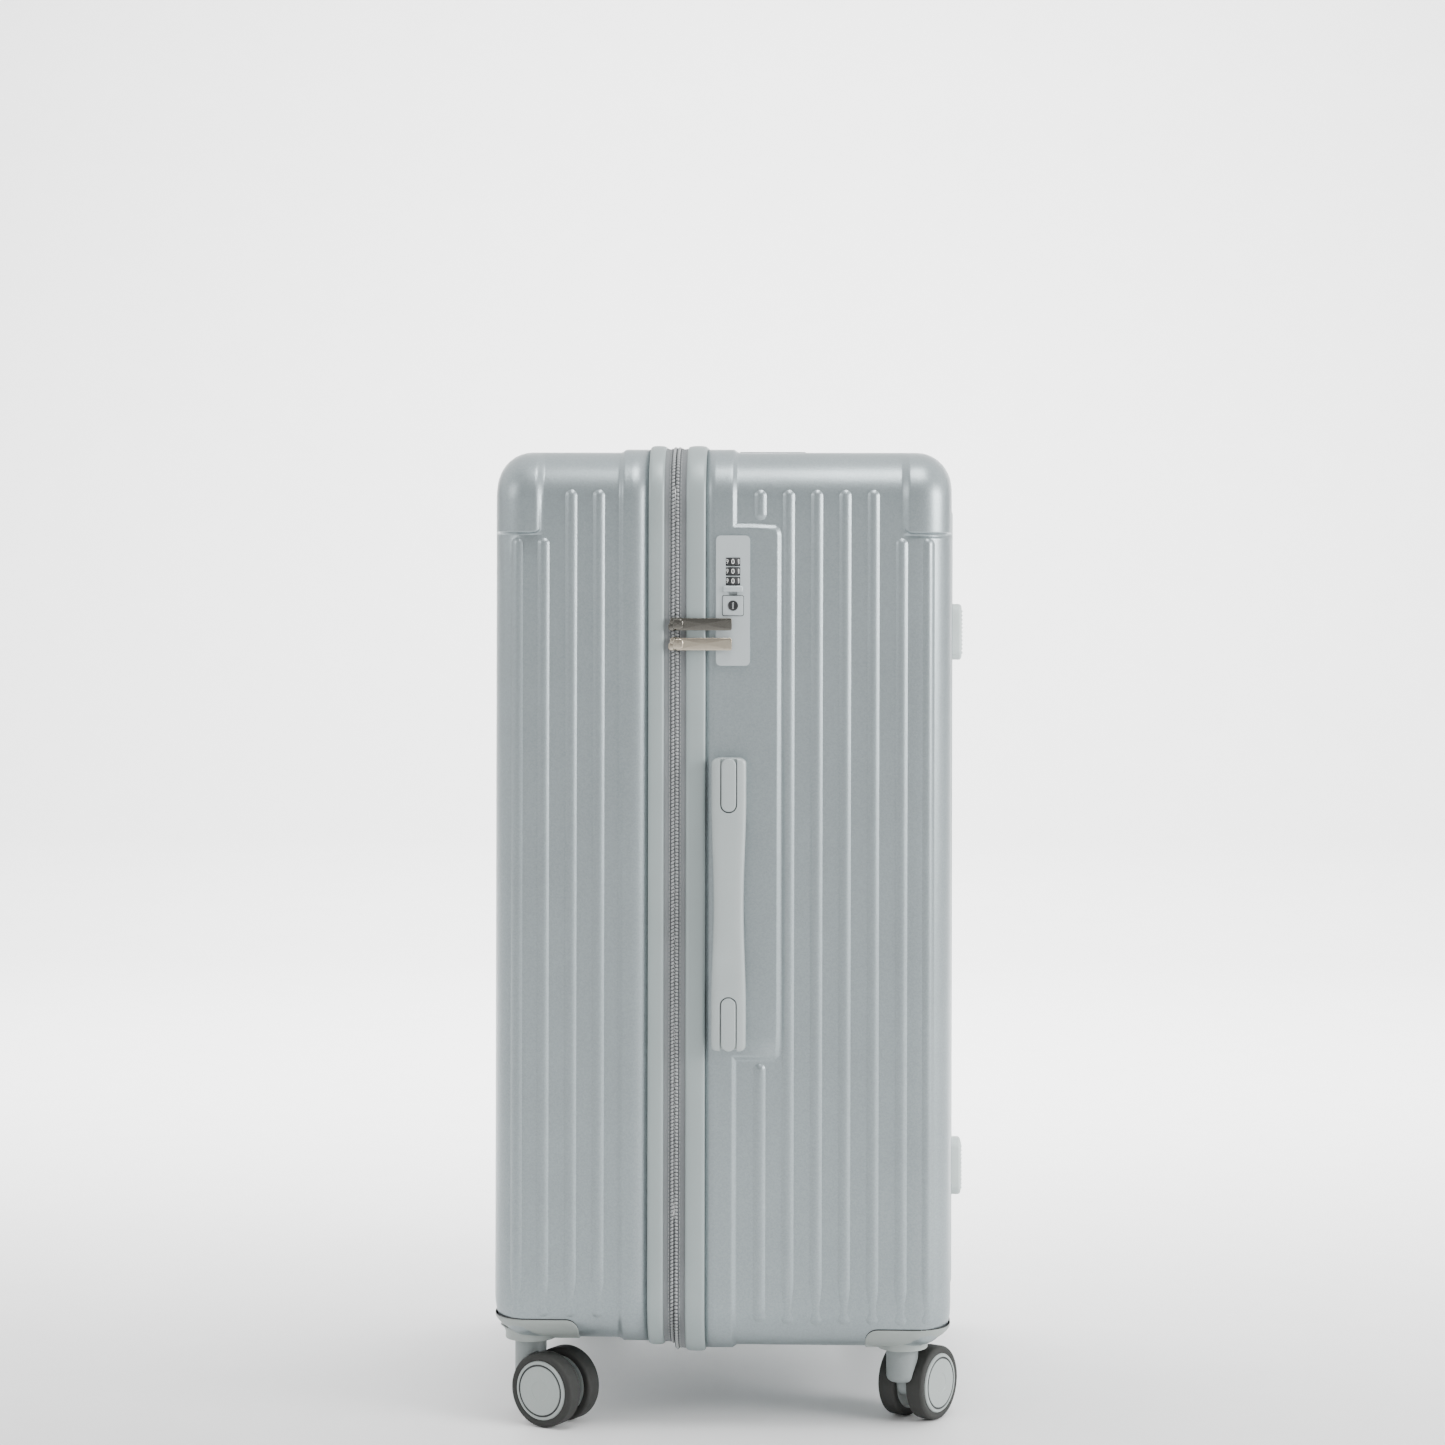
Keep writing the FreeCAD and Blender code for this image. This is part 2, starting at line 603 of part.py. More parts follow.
def lock_plate():
    """Lock plate with its inner box, dial windows, dial pin and key bore."""
    body = new_body("lock_plate")
    plate = new_sketch(body, "XZ_Plane", "Sizes.case_width / 2 + Sizes.band_rise")
    draw_round_rectangle(plate, "Sizes.lock_x - Sizes.lock_width / 2", "Sizes.lock_low",
                         "Sizes.lock_x + Sizes.lock_width / 2", "Sizes.lock_high", "4")
    pad(body, plate, "Sizes.lock_rise")
    box = new_sketch(body, "XZ_Plane", "Sizes.case_width / 2 + Sizes.band_rise - Sizes.lock_depth")
    draw_rectangle(box, *LOCK_BOX)
    pad(body, box, "Sizes.lock_depth + 0.5")
    for step in (-1, 0, 1):
        low = "Sizes.dial_mid_z + %d * Sizes.dial_pitch - Sizes.dial_height / 2 - 0.4" % step
        window = new_sketch(body, "XY_Plane", low)
        draw_circle(window, "Sizes.lock_x", DIAL_Y, "Sizes.dial_radius + 0.5")
        pocket(body, window, "Sizes.dial_height + 0.8")
    pin = new_sketch(body, "XY_Plane", "Sizes.dial_mid_z - 2 * Sizes.dial_pitch")
    draw_circle(pin, "Sizes.lock_x", DIAL_Y, "Sizes.pin_radius")
    pad(body, pin, "4 * Sizes.dial_pitch")
    bore = new_sketch(body, "XZ_Plane", "%s - 10" % PLATE_FACE)
    draw_circle(bore, "Sizes.lock_x", "Sizes.key_z", "Sizes.key_radius + Sizes.run_gap")
    pocket(body, bore, "20")
    cut_window(body, "XZ_Plane", "%s - 2.6" % PLATE_FACE,
               ("Sizes.lock_x - 3.5", "Sizes.button_z - 6.5",
                "Sizes.lock_x + 3.5", "Sizes.button_z + 3"), "5")
    put_in_place(body)
    keep(body, "lock_plate")


def lock_dials():
    """Three number dials that turn on the lock's pin."""
    for index in range(3):
        body = new_body("lock_dial_%d" % (index + 1))
        low = "Sizes.dial_mid_z + %d * Sizes.dial_pitch - Sizes.dial_height / 2" % (1 - index)
        sketch = new_sketch(body, "XY_Plane", low)
        draw_circle(sketch, "Sizes.lock_x", DIAL_Y, "Sizes.dial_radius")
        draw_circle(sketch, "Sizes.lock_x", DIAL_Y, "Sizes.pin_radius + Sizes.run_gap")
        pad(body, sketch, "Sizes.dial_height")
        put_in_place(body)
        keep(body, "lock_dial_%d" % (index + 1))


def release_button():
    """The ledge that frees the pull tabs, with the tongue that guides it."""
    body = new_body("release_button")
    ledge = new_sketch(body, "XZ_Plane", "%s + 0.1" % PLATE_FACE)
    draw_round_rectangle(ledge, "Sizes.lock_x - Sizes.button_width / 2",
                         "Sizes.button_z - Sizes.button_height / 2",
                         "Sizes.lock_x + Sizes.button_width / 2",
                         "Sizes.button_z + Sizes.button_height / 2", "1.2")
    pad(body, ledge, "2")
    tongue = new_sketch(body, "XZ_Plane", "%s - 2.3" % PLATE_FACE)
    draw_rectangle(tongue, "Sizes.lock_x - 3.2", "Sizes.button_z - 2.5",
                   "Sizes.lock_x + 3.2", "Sizes.button_z + 2.5")
    pad(body, tongue, "3")
    put_in_place(body)
    keep(body, "release_button")


def key_cylinder():
    """The key cylinder with its slot."""
    body = new_body("key_cylinder")
    sketch = new_sketch(body, "XZ_Plane", "%s - 9" % PLATE_FACE)
    draw_circle(sketch, "Sizes.lock_x", "Sizes.key_z", "Sizes.key_radius")
    pad(body, sketch, "9.3")
    cut_window(body, "XZ_Plane", "%s - 5" % PLATE_FACE,
               ("Sizes.lock_x - 0.6", "Sizes.key_z - 2.6", "Sizes.lock_x + 0.6", "Sizes.key_z + 2.6"), "10")
    put_in_place(body)
    keep(body, "key_cylinder")


# ---------------------------------------------------------------- zip sliders

SLIDER_SEAT = "Sizes.case_width / 2 + Sizes.coil_rise + 0.3"
PIVOT_Y = "-(%s + Sizes.pivot_rise)" % SLIDER_SEAT


def zip_slider(label, height):
    """A slider: its plate over the teeth, two lugs and the pin between them."""
    body = new_body(label)
    plate = new_sketch(body, "XZ_Plane", SLIDER_SEAT)
    draw_round_rectangle(plate, "Sizes.zip_x - Sizes.slider_width / 2",
                         "%s - Sizes.slider_length / 2" % height,
                         "Sizes.zip_x + Sizes.slider_width / 2",
                         "%s + Sizes.slider_length / 2" % height, "2.5")
    pad(body, plate, "Sizes.slider_base")
    for side in (-1, 1):
        lug = new_sketch(body, "XZ_Plane", "%s + Sizes.slider_base - 0.2" % SLIDER_SEAT)
        middle = "%s + %d * Sizes.lug_reach" % (height, side)
        draw_rectangle(lug, "Sizes.zip_x - 1.6", "%s - Sizes.lug_half" % middle,
                       "Sizes.zip_x + 1.6", "%s + Sizes.lug_half" % middle)
        pad(body, lug, "Sizes.pivot_rise - Sizes.slider_base + 1.7")
    pin = new_sketch(body, "XY_Plane", "%s - 4.1" % height)
    draw_circle(pin, "Sizes.zip_x", PIVOT_Y, "Sizes.slider_pin")
    pad(body, pin, "8.2")
    put_in_place(body)
    keep(body, label)


def pull_tab(label, height):
    """A flat pull tab with the eye that turns on the slider's pin."""
    body = new_body(label)
    eye = new_sketch(body, "XY_Plane", "%s - 3" % height)
    draw_circle(eye, "Sizes.zip_x", PIVOT_Y, "2")
    pad(body, eye, "6")
    neck = new_sketch(body, "XZ_Plane", "-(%s) - Sizes.tab_thick / 2" % PIVOT_Y)
    draw_rectangle(neck, "Sizes.zip_x + 1", "%s - 3" % height, "Sizes.zip_x + 5", "%s + 3" % height)
    pad(body, neck, "Sizes.tab_thick")
    plate = new_sketch(body, "XZ_Plane", "-(%s) - Sizes.tab_thick / 2" % PIVOT_Y)
    draw_round_rectangle(plate, "Sizes.zip_x + 4", "%s - Sizes.tab_width / 2" % height,
                         "Sizes.zip_x + Sizes.tab_length", "%s + Sizes.tab_width / 2" % height, "3")
    pad(body, plate, "Sizes.tab_thick")
    bore = new_sketch(body, "XY_Plane", "%s - 10" % height)
    draw_circle(bore, "Sizes.zip_x", PIVOT_Y, "Sizes.slider_pin + Sizes.run_gap")
    pocket(body, bore, "20")
    put_in_place(body)
    keep(body, label)


# ---------------------------------------------------------------- carrying handles

# A carrying handle lies along the sketch's "long" axis. Its sketch plane, the height of
# its seat along that plane's normal, and the middle of the handle are the only differences
# between the side handle and the top one.
HANDLES = {
    "side_handle": ("XZ_Plane", "Sizes.case_width / 2 + Sizes.band_rise",
                    "Sizes.side_handle_x", "Sizes.side_handle_z"),
    "top_handle": ("XY_Plane", "Sizes.case_high - Sizes.cup_depth", "Sizes.top_handle_x", "0"),
}


def tongue_sides(across, along, end, gap):
    """Sides of the tongue at one end of a handle, with a gap all round."""
    half = "(Sizes.tongue_width / 2 + %s)" % gap
    tip = "(Sizes.grip_length / 2 + 2 * %s)" % gap
    root = "(Sizes.grip_length / 2 - Sizes.tongue_length - %s)" % gap
    low, high = (("-%s" % tip), ("-%s" % root)) if end < 0 else (root, tip)
    return ("%s - %s" % (across, half), "%s + %s" % (along, low),
            "%s + %s" % (across, half), "%s + %s" % (along, high))


def handle_grip(name):
    """The grip: a round bar, arched for the fingers, slotted at both ends."""
    plane, seat, across, along = HANDLES[name]
    body = new_body(name + "_grip")
    sketch = new_sketch(body, plane, "%s + Sizes.grip_low" % seat)
    draw_round_rectangle(sketch, "%s - Sizes.grip_width / 2" % across, "%s - Sizes.grip_length / 2" % along,
                         "%s + Sizes.grip_width / 2" % across, "%s + Sizes.grip_length / 2" % along,
                         "Sizes.grip_corner")
    bar = pad(body, sketch, "Sizes.grip_high - Sizes.grip_low")
    outer = number("%s + Sizes.grip_high" % seat)
    test = lies_at("y", -outer) if plane == "XZ_Plane" else lies_at("z", outer)
    round_edges(body, bar, test, "Sizes.grip_round")
    for end in (-1, 1):
        cut_window(body, plane, seat, tongue_sides(across, along, end, "Sizes.tongue_gap"), "30")
    cut_window(body, plane, seat,
               ("%s - 30" % across, "%s - Sizes.grip_gap / 2" % along,
                "%s + 30" % across, "%s + Sizes.grip_gap / 2" % along), "Sizes.grip_arch")
    put_in_place(body)
    keep(body, name + "_grip")


def handle_bases(name):
    """The two fixed bases of a handle, each with the tongue that guides the grip.

    The top handle's bases stand in a sunken cup, which is one moulding with them."""
    plane, seat, across, along = HANDLES[name]
    body = new_body(name + "_bases")
    if name == "top_handle":
        pad_cup(body, CUP_BOX, "Sizes.cup_depth")
    for end in (-1, 1):
        middle = "%s + %d * (Sizes.grip_length / 2 - Sizes.base_length / 2 + 1)" % (along, end)
        foot = new_sketch(body, plane, seat)
        draw_round_rectangle(foot, "%s - Sizes.grip_width / 2" % across,
                             "%s - Sizes.base_length / 2" % middle,
                             "%s + Sizes.grip_width / 2" % across,
                             "%s + Sizes.base_length / 2" % middle, "Sizes.grip_corner")
        pad(body, foot, "Sizes.base_high")
        tongue = new_sketch(body, plane, "%s + 1" % seat)
        draw_round_rectangle(tongue, *tongue_sides(across, along, end, "0"), "Sizes.tongue_corner")
        pad(body, tongue, "Sizes.grip_high - 2")
    put_in_place(body)
    keep(body, name + "_bases")


def pad_cup(body, sides, depth):
    """A sunken cup in the case's top: floor, walls and a flange round its mouth."""
    block = new_sketch(body, "XY_Plane", "Sizes.case_high - %s - Sizes.cup_wall" % depth)
    draw_rectangle(block, *sides)
    pad(body, block, "%s + Sizes.cup_wall" % depth)
    flange = new_sketch(body, "XY_Plane", "Sizes.case_high")
    draw_round_rectangle(flange, *grown(sides, "3"), "Sizes.mouth_corner")
    pad(body, flange, "Sizes.cup_wall")
    hollow = new_sketch(body, "XY_Plane", "Sizes.case_high - %s" % depth)
    draw_round_rectangle(hollow, *grown(sides, "(-Sizes.cup_wall)"), "Sizes.mouth_corner")
    pocket(body, hollow, "%s + 10" % depth)


# ---------------------------------------------------------------- telescopic handle

def trolley_bezel():
    """The cup in the top that holds the telescopic handle's bar."""
    body = new_body("trolley_bezel")
    pad_cup(body, BEZEL_BOX, "Sizes.bezel_depth")
    holes = new_sketch(body, "XY_Plane", "Sizes.case_high - 60")
    for _, side in SIDES:
        draw_circle(holes, "Sizes.trolley_x", "%d * Sizes.tube_y" % side,
                    "Sizes.outer_radius - Sizes.tube_wall")
    pocket(body, holes, "55")
    put_in_place(body)
    keep(body, "trolley_bezel")


def trolley_tubes(label, stage, top):
    """A pair of tubes; each stage fits inside the one before with a sliding gap."""
    body = new_body(label)
    radius = "(Sizes.outer_radius - %d * (Sizes.tube_wall + Sizes.tube_gap))" % stage
    sketch = new_sketch(body, "XY_Plane", "Sizes.tube_low + %d * Sizes.stage_step" % stage)
    for _, side in SIDES:
        for rim in (radius, radius + " - Sizes.tube_wall"):
            draw_circle(sketch, "Sizes.trolley_x", "%d * Sizes.tube_y" % side, rim)
    pad(body, sketch, "%s - Sizes.tube_low - %d * Sizes.stage_step" % (top, stage))
    put_in_place(body)
    keep(body, label)


BAR_LOW = "(Sizes.bar_high - Sizes.bar_thick)"


def trolley_grip():
    """The bar at the top of the telescopic handle, with the seat of its button."""
    body = new_body("trolley_grip")
    sketch = new_sketch(body, "XY_Plane", BAR_LOW)
    draw_round_rectangle(sketch, "Sizes.trolley_x - Sizes.bar_width / 2", "-Sizes.bar_length / 2",
                         "Sizes.trolley_x + Sizes.bar_width / 2", "Sizes.bar_length / 2",
                         "Sizes.bar_corner")
    bar = pad(body, sketch, "Sizes.bar_thick")
    round_edges(body, bar, lies_at("z", number("Sizes.bar_high")), "Sizes.bar_round")
    cut_window(body, "XY_Plane", "Sizes.bar_high - Sizes.push_depth - 2.2",
               ("Sizes.trolley_x - Sizes.push_width / 2 - 0.3", "-Sizes.push_length / 2 - 0.3",
                "Sizes.trolley_x + Sizes.push_width / 2 + 0.3", "Sizes.push_length / 2 + 0.3"), "20", "3.3")
    put_in_place(body)
    keep(body, "trolley_grip")


def trolley_button():
    """The push button that frees the tubes."""
    body = new_body("trolley_button")
    sketch = new_sketch(body, "XY_Plane", "Sizes.bar_high - Sizes.push_depth")
    draw_round_rectangle(sketch, "Sizes.trolley_x - Sizes.push_width / 2", "-Sizes.push_length / 2",
                         "Sizes.trolley_x + Sizes.push_width / 2", "Sizes.push_length / 2", "3")
    pad(body, sketch, "Sizes.push_depth + 1")
    put_in_place(body)
    keep(body, "trolley_button")


# ---------------------------------------------------------------- casters

def case_block(label, half, offset):
    """A helper block of one half of the case, used to shape the housings."""
    body = new_body(label)
    pad_case_block(body, half, offset)
    return body


def caster_housing(prefix, half, side, skirt_block, shell_block):
    """The moulding that wraps a lower corner and carries the caster's socket."""
    x = "Sizes.%s_swivel_x" % ("rear" if half == REAR else "front")
    y = "%d * Sizes.swivel_y" % side
    seam = "Sizes.%s_seam" % ("rear" if half == REAR else "front")
    low = BOSS_LOW[half]
    corner = doc.addObject("Part::Box", prefix + "_corner")
    bind(corner, "Length", "Sizes.housing_span + 10")
    bind(corner, "Width", "Sizes.housing_span + 10")
    bind(corner, "Height", "%s - %s" % (seam, low))
    reach = "(Sizes.case_depth / 2 - Sizes.housing_span)"
    bind(corner, "Placement.Base.x", reach if half == REAR else "-%s - Sizes.housing_span - 10" % reach)
    reach = "(Sizes.case_width / 2 - Sizes.housing_span)"
    bind(corner, "Placement.Base.y", reach if side == FAR else "-%s - Sizes.housing_span - 10" % reach)
    bind(corner, "Placement.Base.z", low)
    skirt = combine("Part::Common", prefix + "_skirt", skirt_block, corner)
    boss = cylinder(prefix + "_boss", "Sizes.boss_radius", low, seam, x, y)
    cup = combine("Part::Fuse", prefix + "_cup", skirt, boss)
    cup = combine("Part::Cut", prefix + "_wrap", cup, shell_block)
    socket = cylinder(prefix + "_socket", "Sizes.socket_radius", low, "Sizes.socket_high", x, y)
    cup = combine("Part::Fuse", prefix + "_joined", cup, socket)
    bore = cylinder(prefix + "_bore", "Sizes.kingpin_radius + Sizes.run_gap",
                    "(%s - 5)" % low, "(Sizes.socket_high - 3)", x, y)
    housing = combine("Part::Cut", prefix + "_housing", cup, bore)
    put_in_place(housing)
    keep(housing, prefix + "_housing")


def caster_fork(prefix, half, x, y, turn):
    """Stem, arm and kingpin, hollowed where the wheels run past the stem."""
    body = new_body(prefix + "_fork")
    stem = new_sketch(body, "XY_Plane", "Sizes.stem_low")
    draw_circle(stem, "0", "0", "Sizes.stem_radius")
    barrel = pad(body, stem, "%s - 0.3 - Sizes.stem_low" % BOSS_LOW[half])
    round_edges(body, barrel, lies_at("z", number("Sizes.stem_low")), "Sizes.stem_round")
    arm = new_sketch(body, "XZ_Plane", "-Sizes.fork_thick / 2")
    draw_round_rectangle(arm, "0", "Sizes.wheel_radius - 9",
                         "Sizes.trail + 9", "Sizes.wheel_radius + 14", "8")
    pad(body, arm, "Sizes.fork_thick")
    for side in (-1, 1):
        start = "Sizes.wheel_inside - 0.5"
        well = new_sketch(body, "XZ_Plane", start if side > 0 else "-(%s) - 20" % start)
        draw_circle(well, "Sizes.trail", "Sizes.wheel_radius", "Sizes.wheel_radius + 1.2")
        pocket(body, well, "20")
    pin = new_sketch(body, "XY_Plane", "%s - 2" % BOSS_LOW[half])
    draw_circle(pin, "0", "0", "Sizes.kingpin_radius")
    pad(body, pin, "Sizes.socket_high - 4 - %s" % BOSS_LOW[half])
    bore = new_sketch(body, "XZ_Plane", "-20")
    draw_circle(bore, "Sizes.trail", "Sizes.wheel_radius", "Sizes.axle_radius")
    pocket(body, bore, "40")
    put_in_place(body, x, y, turn)
    keep(body, prefix + "_fork")


def wheel_ring(label, x, y, turn, side, start, width, outer, inner, rounding=None):
    """A ring of a wheel, from start outwards along the axle."""
    body = new_body(label)
    offset = start if side > 0 else "-(%s) - (%s)" % (start, width)
    sketch = new_sketch(body, "XZ_Plane", offset)
    draw_circle(sketch, "Sizes.trail", "Sizes.wheel_radius", outer)
    draw_circle(sketch, "Sizes.trail", "Sizes.wheel_radius", inner)
    ring = pad(body, sketch, width)
    if rounding:
        outer_radius = number(outer)
        round_edges(body, ring, lambda edge: abs(edge.BoundBox.ZLength - 2 * outer_radius) < 0.05
                    and edge.BoundBox.YLength < 0.01, rounding)
    put_in_place(body, x, y, turn)
    keep(body, label)


def caster(prefix, half, side):
    """Fork, axle and two wheels of one caster, turned to its own direction."""
    x = "Sizes.%s_swivel_x" % ("rear" if half == REAR else "front")
    y = "%d * Sizes.swivel_y" % side
    turn = "Sizes.%s_turn" % prefix
    caster_fork(prefix, half, x, y, turn)
    axle = new_body(prefix + "_axle")
    reach = "(Sizes.wheel_inside + Sizes.tyre_width - 2)"
    sketch = new_sketch(axle, "XZ_Plane", "-" + reach)
    draw_circle(sketch, "Sizes.trail", "Sizes.wheel_radius", "Sizes.axle_radius")
    pad(axle, sketch, "2 * " + reach)
    put_in_place(axle, x, y, turn)
    keep(axle, prefix + "_axle")
    for letter, way in (("a", 1), ("b", -1)):
        wheel_ring("%s_tyre_%s" % (prefix, letter), x, y, turn, way, "Sizes.wheel_inside",
                   "Sizes.tyre_width", "Sizes.wheel_radius", "Sizes.tyre_bore", "Sizes.tyre_round")
        hub_of_wheel("%s_hub_%s" % (prefix, letter), x, y, turn, way)


def hub_of_wheel(label, x, y, turn, side):
    """A wheel's hub: a disc inside the tyre, closed outside by its cap."""
    body = new_body(label)
    width = "(Sizes.tyre_width + Sizes.cap_rise)"
    start = "Sizes.wheel_inside"
    disc = new_sketch(body, "XZ_Plane", start if side > 0 else "-%s - %s" % (start, width))
    draw_circle(disc, "Sizes.trail", "Sizes.wheel_radius", "Sizes.tyre_bore")
    pad(body, disc, width)
    bore = new_sketch(body, "XZ_Plane", "0" if side > 0 else "-Sizes.wheel_inside - Sizes.tyre_width + 1.5")
    draw_circle(bore, "Sizes.trail", "Sizes.wheel_radius", "Sizes.axle_radius + Sizes.run_gap")
    pocket(body, bore, "Sizes.wheel_inside + Sizes.tyre_width - 1.5")
    put_in_place(body, x, y, turn)
    keep(body, label)


def casters():
    """Four housings and four casters."""
    for half_name, half in (("front", FRONT), ("rear", REAR)):
        skirt_block = case_block(half_name + "_skirt_block", half, "Sizes.housing_rise")
        shell_block = case_block(half_name + "_shell_block", half, "0")
        for side_name, side in SIDES:
            prefix = "%s_%s" % (half_name, side_name)
            caster_housing(prefix, half, side, skirt_block, shell_block)
            caster(prefix, half, side)


# ---------------------------------------------------------------- build and export

def build():
    """Make every sub-part of the suitcase."""
    rear_shell()
    front_shell()
    rims_and_tapes()
    zip_teeth()
    lining("rear_lining", REAR)
    lining("front_lining", FRONT)
    tube_cover()
    rear_feet()
    lock_plate()
    lock_dials()
    release_button()
    key_cylinder()
    for name in ("high", "low"):
        zip_slider("zip_slider_" + name, "Sizes.slider_%s_z" % name)
        pull_tab("pull_tab_" + name, "Sizes.slider_%s_z" % name)
    for name in HANDLES:
        handle_bases(name)
        handle_grip(name)
    trolley_bezel()
    floor = "(Sizes.case_high - Sizes.bezel_depth - Sizes.cup_wall)"
    trolley_tubes("trolley_outer_tubes", 0, floor)
    trolley_tubes("trolley_mid_tubes", 1, "(%s + Sizes.cup_wall + 2)" % floor)
    trolley_tubes("trolley_inner_tubes", 2, BAR_LOW)
    trolley_grip()
    trolley_button()
    casters()
    doc.recompute()


def export():
    """Check every object and write one STEP file per sub-part."""
    for thing in doc.Objects:
        if "Invalid" in thing.State or "Error" in thing.State:
            raise RuntimeError("%s failed: %s" % (thing.Label, thing.State))
    os.makedirs("parts", exist_ok=True)
    for piece in pieces:
        if piece.Shape.isNull() or not piece.Shape.isValid():
            raise RuntimeError("%s has no valid shape" % piece.Label)
    for piece in pieces:
        piece.Shape.exportStep("parts/%s.step" % piece.Label)
        print("%-24s %10.0f mm3 %d solid(s)" % (piece.Label, piece.Shape.Volume, len(piece.Shape.Solids)))


build()
export()
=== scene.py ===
"""Hard shell suitcase on four twin-wheel casters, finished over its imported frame.

All sizes are in millimetres and are measured from the middle of the case, with Z up from
the floor; `Case.put` carries them into the frame's own metres.
"""

import json
import logging
import math
from dataclasses import dataclass
from enum import Enum, IntEnum

import bmesh
import bpy
import numpy as np
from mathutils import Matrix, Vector

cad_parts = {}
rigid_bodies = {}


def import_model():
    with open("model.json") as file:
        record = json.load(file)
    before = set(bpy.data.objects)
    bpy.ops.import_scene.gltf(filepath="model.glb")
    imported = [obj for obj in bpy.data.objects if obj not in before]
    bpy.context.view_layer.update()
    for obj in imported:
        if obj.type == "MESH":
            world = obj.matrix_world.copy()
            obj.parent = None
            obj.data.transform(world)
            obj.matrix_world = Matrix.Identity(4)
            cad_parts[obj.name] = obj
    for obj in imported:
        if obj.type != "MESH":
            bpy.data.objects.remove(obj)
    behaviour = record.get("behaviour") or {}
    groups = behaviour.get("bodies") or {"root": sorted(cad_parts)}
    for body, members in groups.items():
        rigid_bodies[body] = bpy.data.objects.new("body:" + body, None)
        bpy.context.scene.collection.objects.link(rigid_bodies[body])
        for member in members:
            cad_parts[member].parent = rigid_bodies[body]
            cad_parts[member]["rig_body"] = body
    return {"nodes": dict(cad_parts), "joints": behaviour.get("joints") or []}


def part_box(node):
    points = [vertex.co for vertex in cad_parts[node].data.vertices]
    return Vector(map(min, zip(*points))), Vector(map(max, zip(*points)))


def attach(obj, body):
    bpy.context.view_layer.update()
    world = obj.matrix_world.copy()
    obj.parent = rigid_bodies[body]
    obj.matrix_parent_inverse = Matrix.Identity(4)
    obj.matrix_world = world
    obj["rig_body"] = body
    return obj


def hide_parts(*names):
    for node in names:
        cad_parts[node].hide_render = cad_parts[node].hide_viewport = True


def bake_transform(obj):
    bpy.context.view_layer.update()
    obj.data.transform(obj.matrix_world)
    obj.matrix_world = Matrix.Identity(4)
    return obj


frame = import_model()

log = logging.getLogger("suitcase")

Array = np.ndarray
Tree = bpy.types.NodeTree
Socket = bpy.types.NodeSocket
Window = tuple[int, float, float, float, float]

METRES = 0.001
PER_METRE = 1000.0
RIGHT = math.pi / 2
ROUND = 2 * math.pi


class Side(IntEnum):
    """The narrow sides, by the sign of Y: the lock is on the near one, the hinge on the far one."""

    NEAR = -1
    FAR = 1


class Part(IntEnum):
    """The halves of the case, by the sign of X from the zip."""

    FRONT = -1
    REAR = 1


NEAR, FAR = Side
FRONT, REAR = Part


# ---------------------------------------------------------------- finishes

class Grain(Enum):
    """The fine pattern of a surface."""

    PEBBLE = "pebble"
    MOULDED = "moulded"
    BRUSHED = "brushed"
    WEAVE = "weave"
    RUBBER = "rubber"


